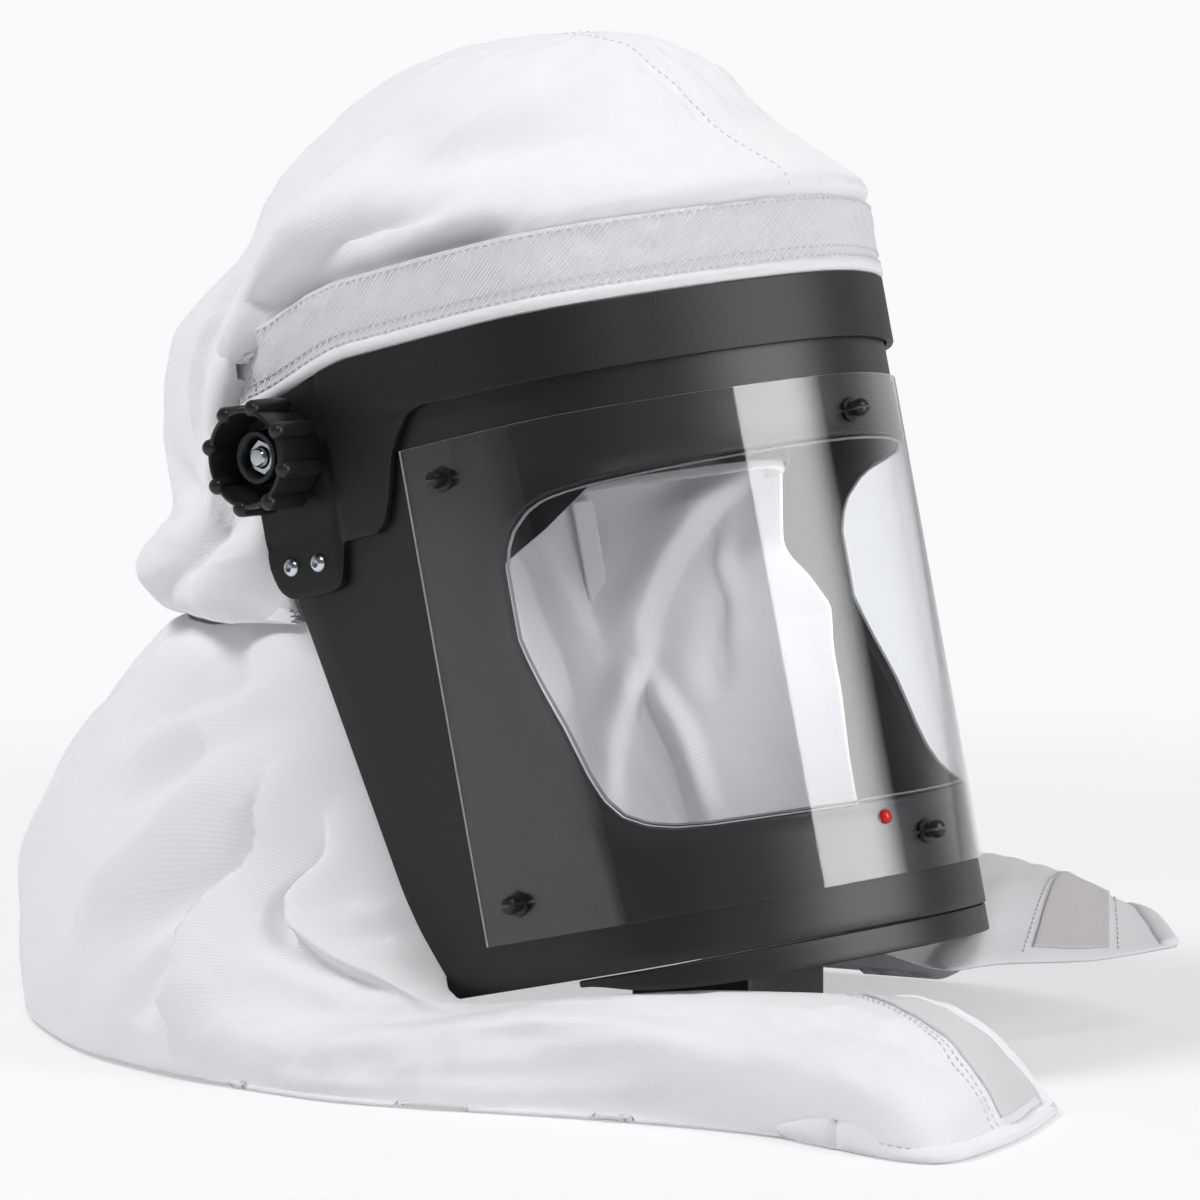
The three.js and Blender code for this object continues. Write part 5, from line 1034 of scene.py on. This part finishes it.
# lift, width to the line's left and right, all in mm, and the line's turns and depths
LINING_FOLDS = (
    (-9, 16, 3.5, ((62, 0.06), (80, 0.12), (96, 0.25), (106, 0.38), (110, 0.48))),
    (-7, 10, 3.5, ((108, 0.44), (112, 0.54), (118, 0.62), (123, 0.72), (126, 0.86))),
    (4, 3.5, 3.5, ((110, 0.5), (111, 0.6), (110, 0.7), (107, 0.8), (105, 0.93))),
    (-5, 6, 4, ((109, 0.52), (104, 0.62), (100, 0.73), (98, 0.93))),
    (-3, 4, 4, ((86, 0.5), (80, 0.35), (76, 0.2))),
    (3, 5, 5, ((92, 0.62), (89, 0.48), (84, 0.32))),
    (-5, 8, 4, ((132, 0.05), (128, 0.22), (122, 0.42))),
    (5, 7, 7, ((140, 0.1), (137, 0.34), (132, 0.62))),
    (-6, 8, 5, ((148, 0.1), (146, 0.4), (142, 0.7))),
    (4, 9, 8, ((160, 0.3), (158, 0.6), (154, 0.9))),
    (-6, 11, 8, ((175, 0.1), (172, 0.45), (170, 0.8))),
    (4, 12, 10, ((200, 0.2), (203, 0.5), (206, 0.8))))


def lining_base(turns, below):
    """The inner cloth before its folds, level with the head and along its fall."""
    return round_head(turns, LINING_TOP - LINING_FALL * below, 0)


base = lining_base(turns, below)
lift = folded(base, outward(base), LINING_FOLDS, lining_base) * smooth(below / 0.12)
lift += 0.5 * ripple(1.3 * turns, LINING_FALL * below, 24, 41) * smooth(below / 0.2)
flare = 19 * smooth((100 - turns) / 36) * smooth((below - 0.26) / 0.2)
points = round_head(turns, LINING_TOP - LINING_FALL * below, flare - inset + np.minimum(lift, 2.5))
inner = finish_piece(grid_of(points, LEANING), "neck_lining", [white_cloth], sharp=180)
thicken(inner, 0.9)
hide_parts("inner_cloth")


# Hanging tape: a narrow loop of white binding that hangs from the harness at the left ear, inside
# the hood.
steps = np.linspace(-4, 4, 7)[:, None]
levels = np.linspace(-62, -16, 41)[None, :]
points = round_head(118 + 0.75 * steps, levels, -8.2 + 0.4 * np.sin(levels / 6))
tape = finish_piece(grid_of(points[::-1], LEANING), "seam_tape", [bound], sharp=180)
thicken(tape, 0.6)
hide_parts("hanging_tape")


# Floor: pale and matt, with a soft shadow round the object. Farther out it fades into the white
# room, for the camera alone.
bm = bmesh.new()
bmesh.ops.create_grid(bm, x_segments=1, y_segments=1, size=8)
floor_mesh = bpy.data.meshes.new("floor")
bm.to_mesh(floor_mesh)
bm.free()
floor = bpy.data.objects.new("floor", floor_mesh)
pale = plain("floor", (0.9, 0.9, 0.91), 0.9)
nodes, links = pale.node_tree.nodes, pale.node_tree.links
place = nodes.new("ShaderNodeTexCoord")
apart = nodes.new("ShaderNodeVectorMath")
apart.operation = "LENGTH"
fade = fill(nodes.new("ShaderNodeMapRange"), {"From Min": 0.35, "From Max": 1.1, "To Min": 0.5})
fade.interpolation_type = "SMOOTHSTEP"
glow = fill(nodes.new("ShaderNodeEmission"), {"Color": (0.98, 0.985, 1, 1), "Strength": 0.97})
mix = nodes.new("ShaderNodeMixShader")
ray = nodes.new("ShaderNodeLightPath")
seen = nodes.new("ShaderNodeMath")
seen.operation = "MULTIPLY"
links.new(place.outputs["Object"], apart.inputs[0])
links.new(apart.outputs["Value"], fade.inputs["Value"])
links.new(fade.outputs["Result"], seen.inputs[0])
links.new(ray.outputs["Is Camera Ray"], seen.inputs[1])
links.new(seen.outputs["Value"], mix.inputs["Fac"])
links.new(nodes["Principled BSDF"].outputs["BSDF"], mix.inputs[1])
links.new(glow.outputs["Emission"], mix.inputs[2])
links.new(mix.outputs["Shader"], nodes["Material Output"].inputs["Surface"])
floor_mesh.materials.append(pale)
bpy.context.scene.collection.objects.link(floor)


# Light: soft boxes ahead of the object, over its right shoulder and above. Two more, a tall one
# ahead and one over the brow, are seen only as reflections in the film and the plastics.
def lamp(name, azimuth, elevation, distance, width, height, power, mirrored, centre=(0, 0, 0.15),
         aimed=None):
    """A rectangular soft box that faces the object; azimuth is from the wearer's front to the left."""
    light = bpy.data.lights.new(name, "AREA")
    light.shape = "RECTANGLE"
    light.size, light.size_y, light.energy = width, height, power
    box = bpy.data.objects.new(name, light)
    a, e = math.radians(azimuth), math.radians(elevation)
    away = Vector((math.sin(a) * math.cos(e), -math.cos(a) * math.cos(e), math.sin(e)))
    box.location = Vector(centre) + distance * away
    box.rotation_euler = (Vector(aimed or centre) - box.location).to_track_quat("-Z", "Y").to_euler()
    box.visible_camera = False
    box.visible_diffuse = not mirrored
    box.visible_glossy = mirrored
    bpy.context.scene.collection.objects.link(box)
    return light


soft_box = lamp("soft_box", 15.5, 14, 2.2, 1.14, 1.9, 62, True)
lamp("front", 2, 18, 2.2, 0.8, 1.0, 20, False)
lamp("top_left", -118, 54, 2.4, 0.6, 0.6, 39, False)
lamp("brow_sheen", -40, 52, 2.4, 1.0, 0.5, 15, True)
lamp("top_right", 30, 60, 2.4, 0.8, 0.8, 9, False)
# a small light behind the film brightens the cloth inside
lamp("inside", -20, 0, 0.06, 0.05, 0.07, 0.062, False, centre=(-0.005, -0.015, 0.135),
     aimed=(0.07, 0.07, 0.1))

# the tall box dims towards its far side, so that its image in the film fades out
soft_box.use_nodes = True
nodes, links = soft_box.node_tree.nodes, soft_box.node_tree.links
across_box = nodes.new("ShaderNodeNewGeometry")
split = nodes.new("ShaderNodeSeparateXYZ")
dim = fill(nodes.new("ShaderNodeMapRange"),
           {"From Min": 0.45, "From Max": 1.08, "To Min": 1, "To Max": 0.05})
dim.interpolation_type = "SMOOTHSTEP"
links.new(across_box.outputs["Parametric"], split.inputs["Vector"])
links.new(split.outputs["X"], dim.inputs["Value"])
links.new(dim.outputs["Result"], nodes["Emission"].inputs["Strength"])


# Room: white where the camera sees it. Its light comes more from behind the object than from
# ahead.
world = bpy.data.worlds.new("room")
world.use_nodes = True
nodes, links = world.node_tree.nodes, world.node_tree.links
place = nodes.new("ShaderNodeTexCoord")
facing = nodes.new("ShaderNodeVectorMath")
facing.operation = "DOT_PRODUCT"
facing.inputs[1].default_value = aim.normalized()
ramp = fill(nodes.new("ShaderNodeMapRange"),
            {"From Min": -0.5, "From Max": 0.85, "To Min": 0.13, "To Max": 0.54})
ramp.interpolation_type = "SMOOTHSTEP"
nodes["Background"].inputs["Color"].default_value = (0.98, 0.985, 1, 1)
links.new(place.outputs["Generated"], facing.inputs[0])
links.new(facing.outputs["Value"], ramp.inputs["Value"])
ray = nodes.new("ShaderNodeLightPath")
seen = fill(nodes.new("ShaderNodeMix"), {"B": 0.97})
links.new(ray.outputs["Is Camera Ray"], seen.inputs["Factor"])
links.new(ramp.outputs["Result"], seen.inputs["A"])
links.new(seen.outputs["Result"], nodes["Background"].inputs["Strength"])
bpy.context.scene.world = world
bpy.context.scene.view_settings.view_transform = "Standard"
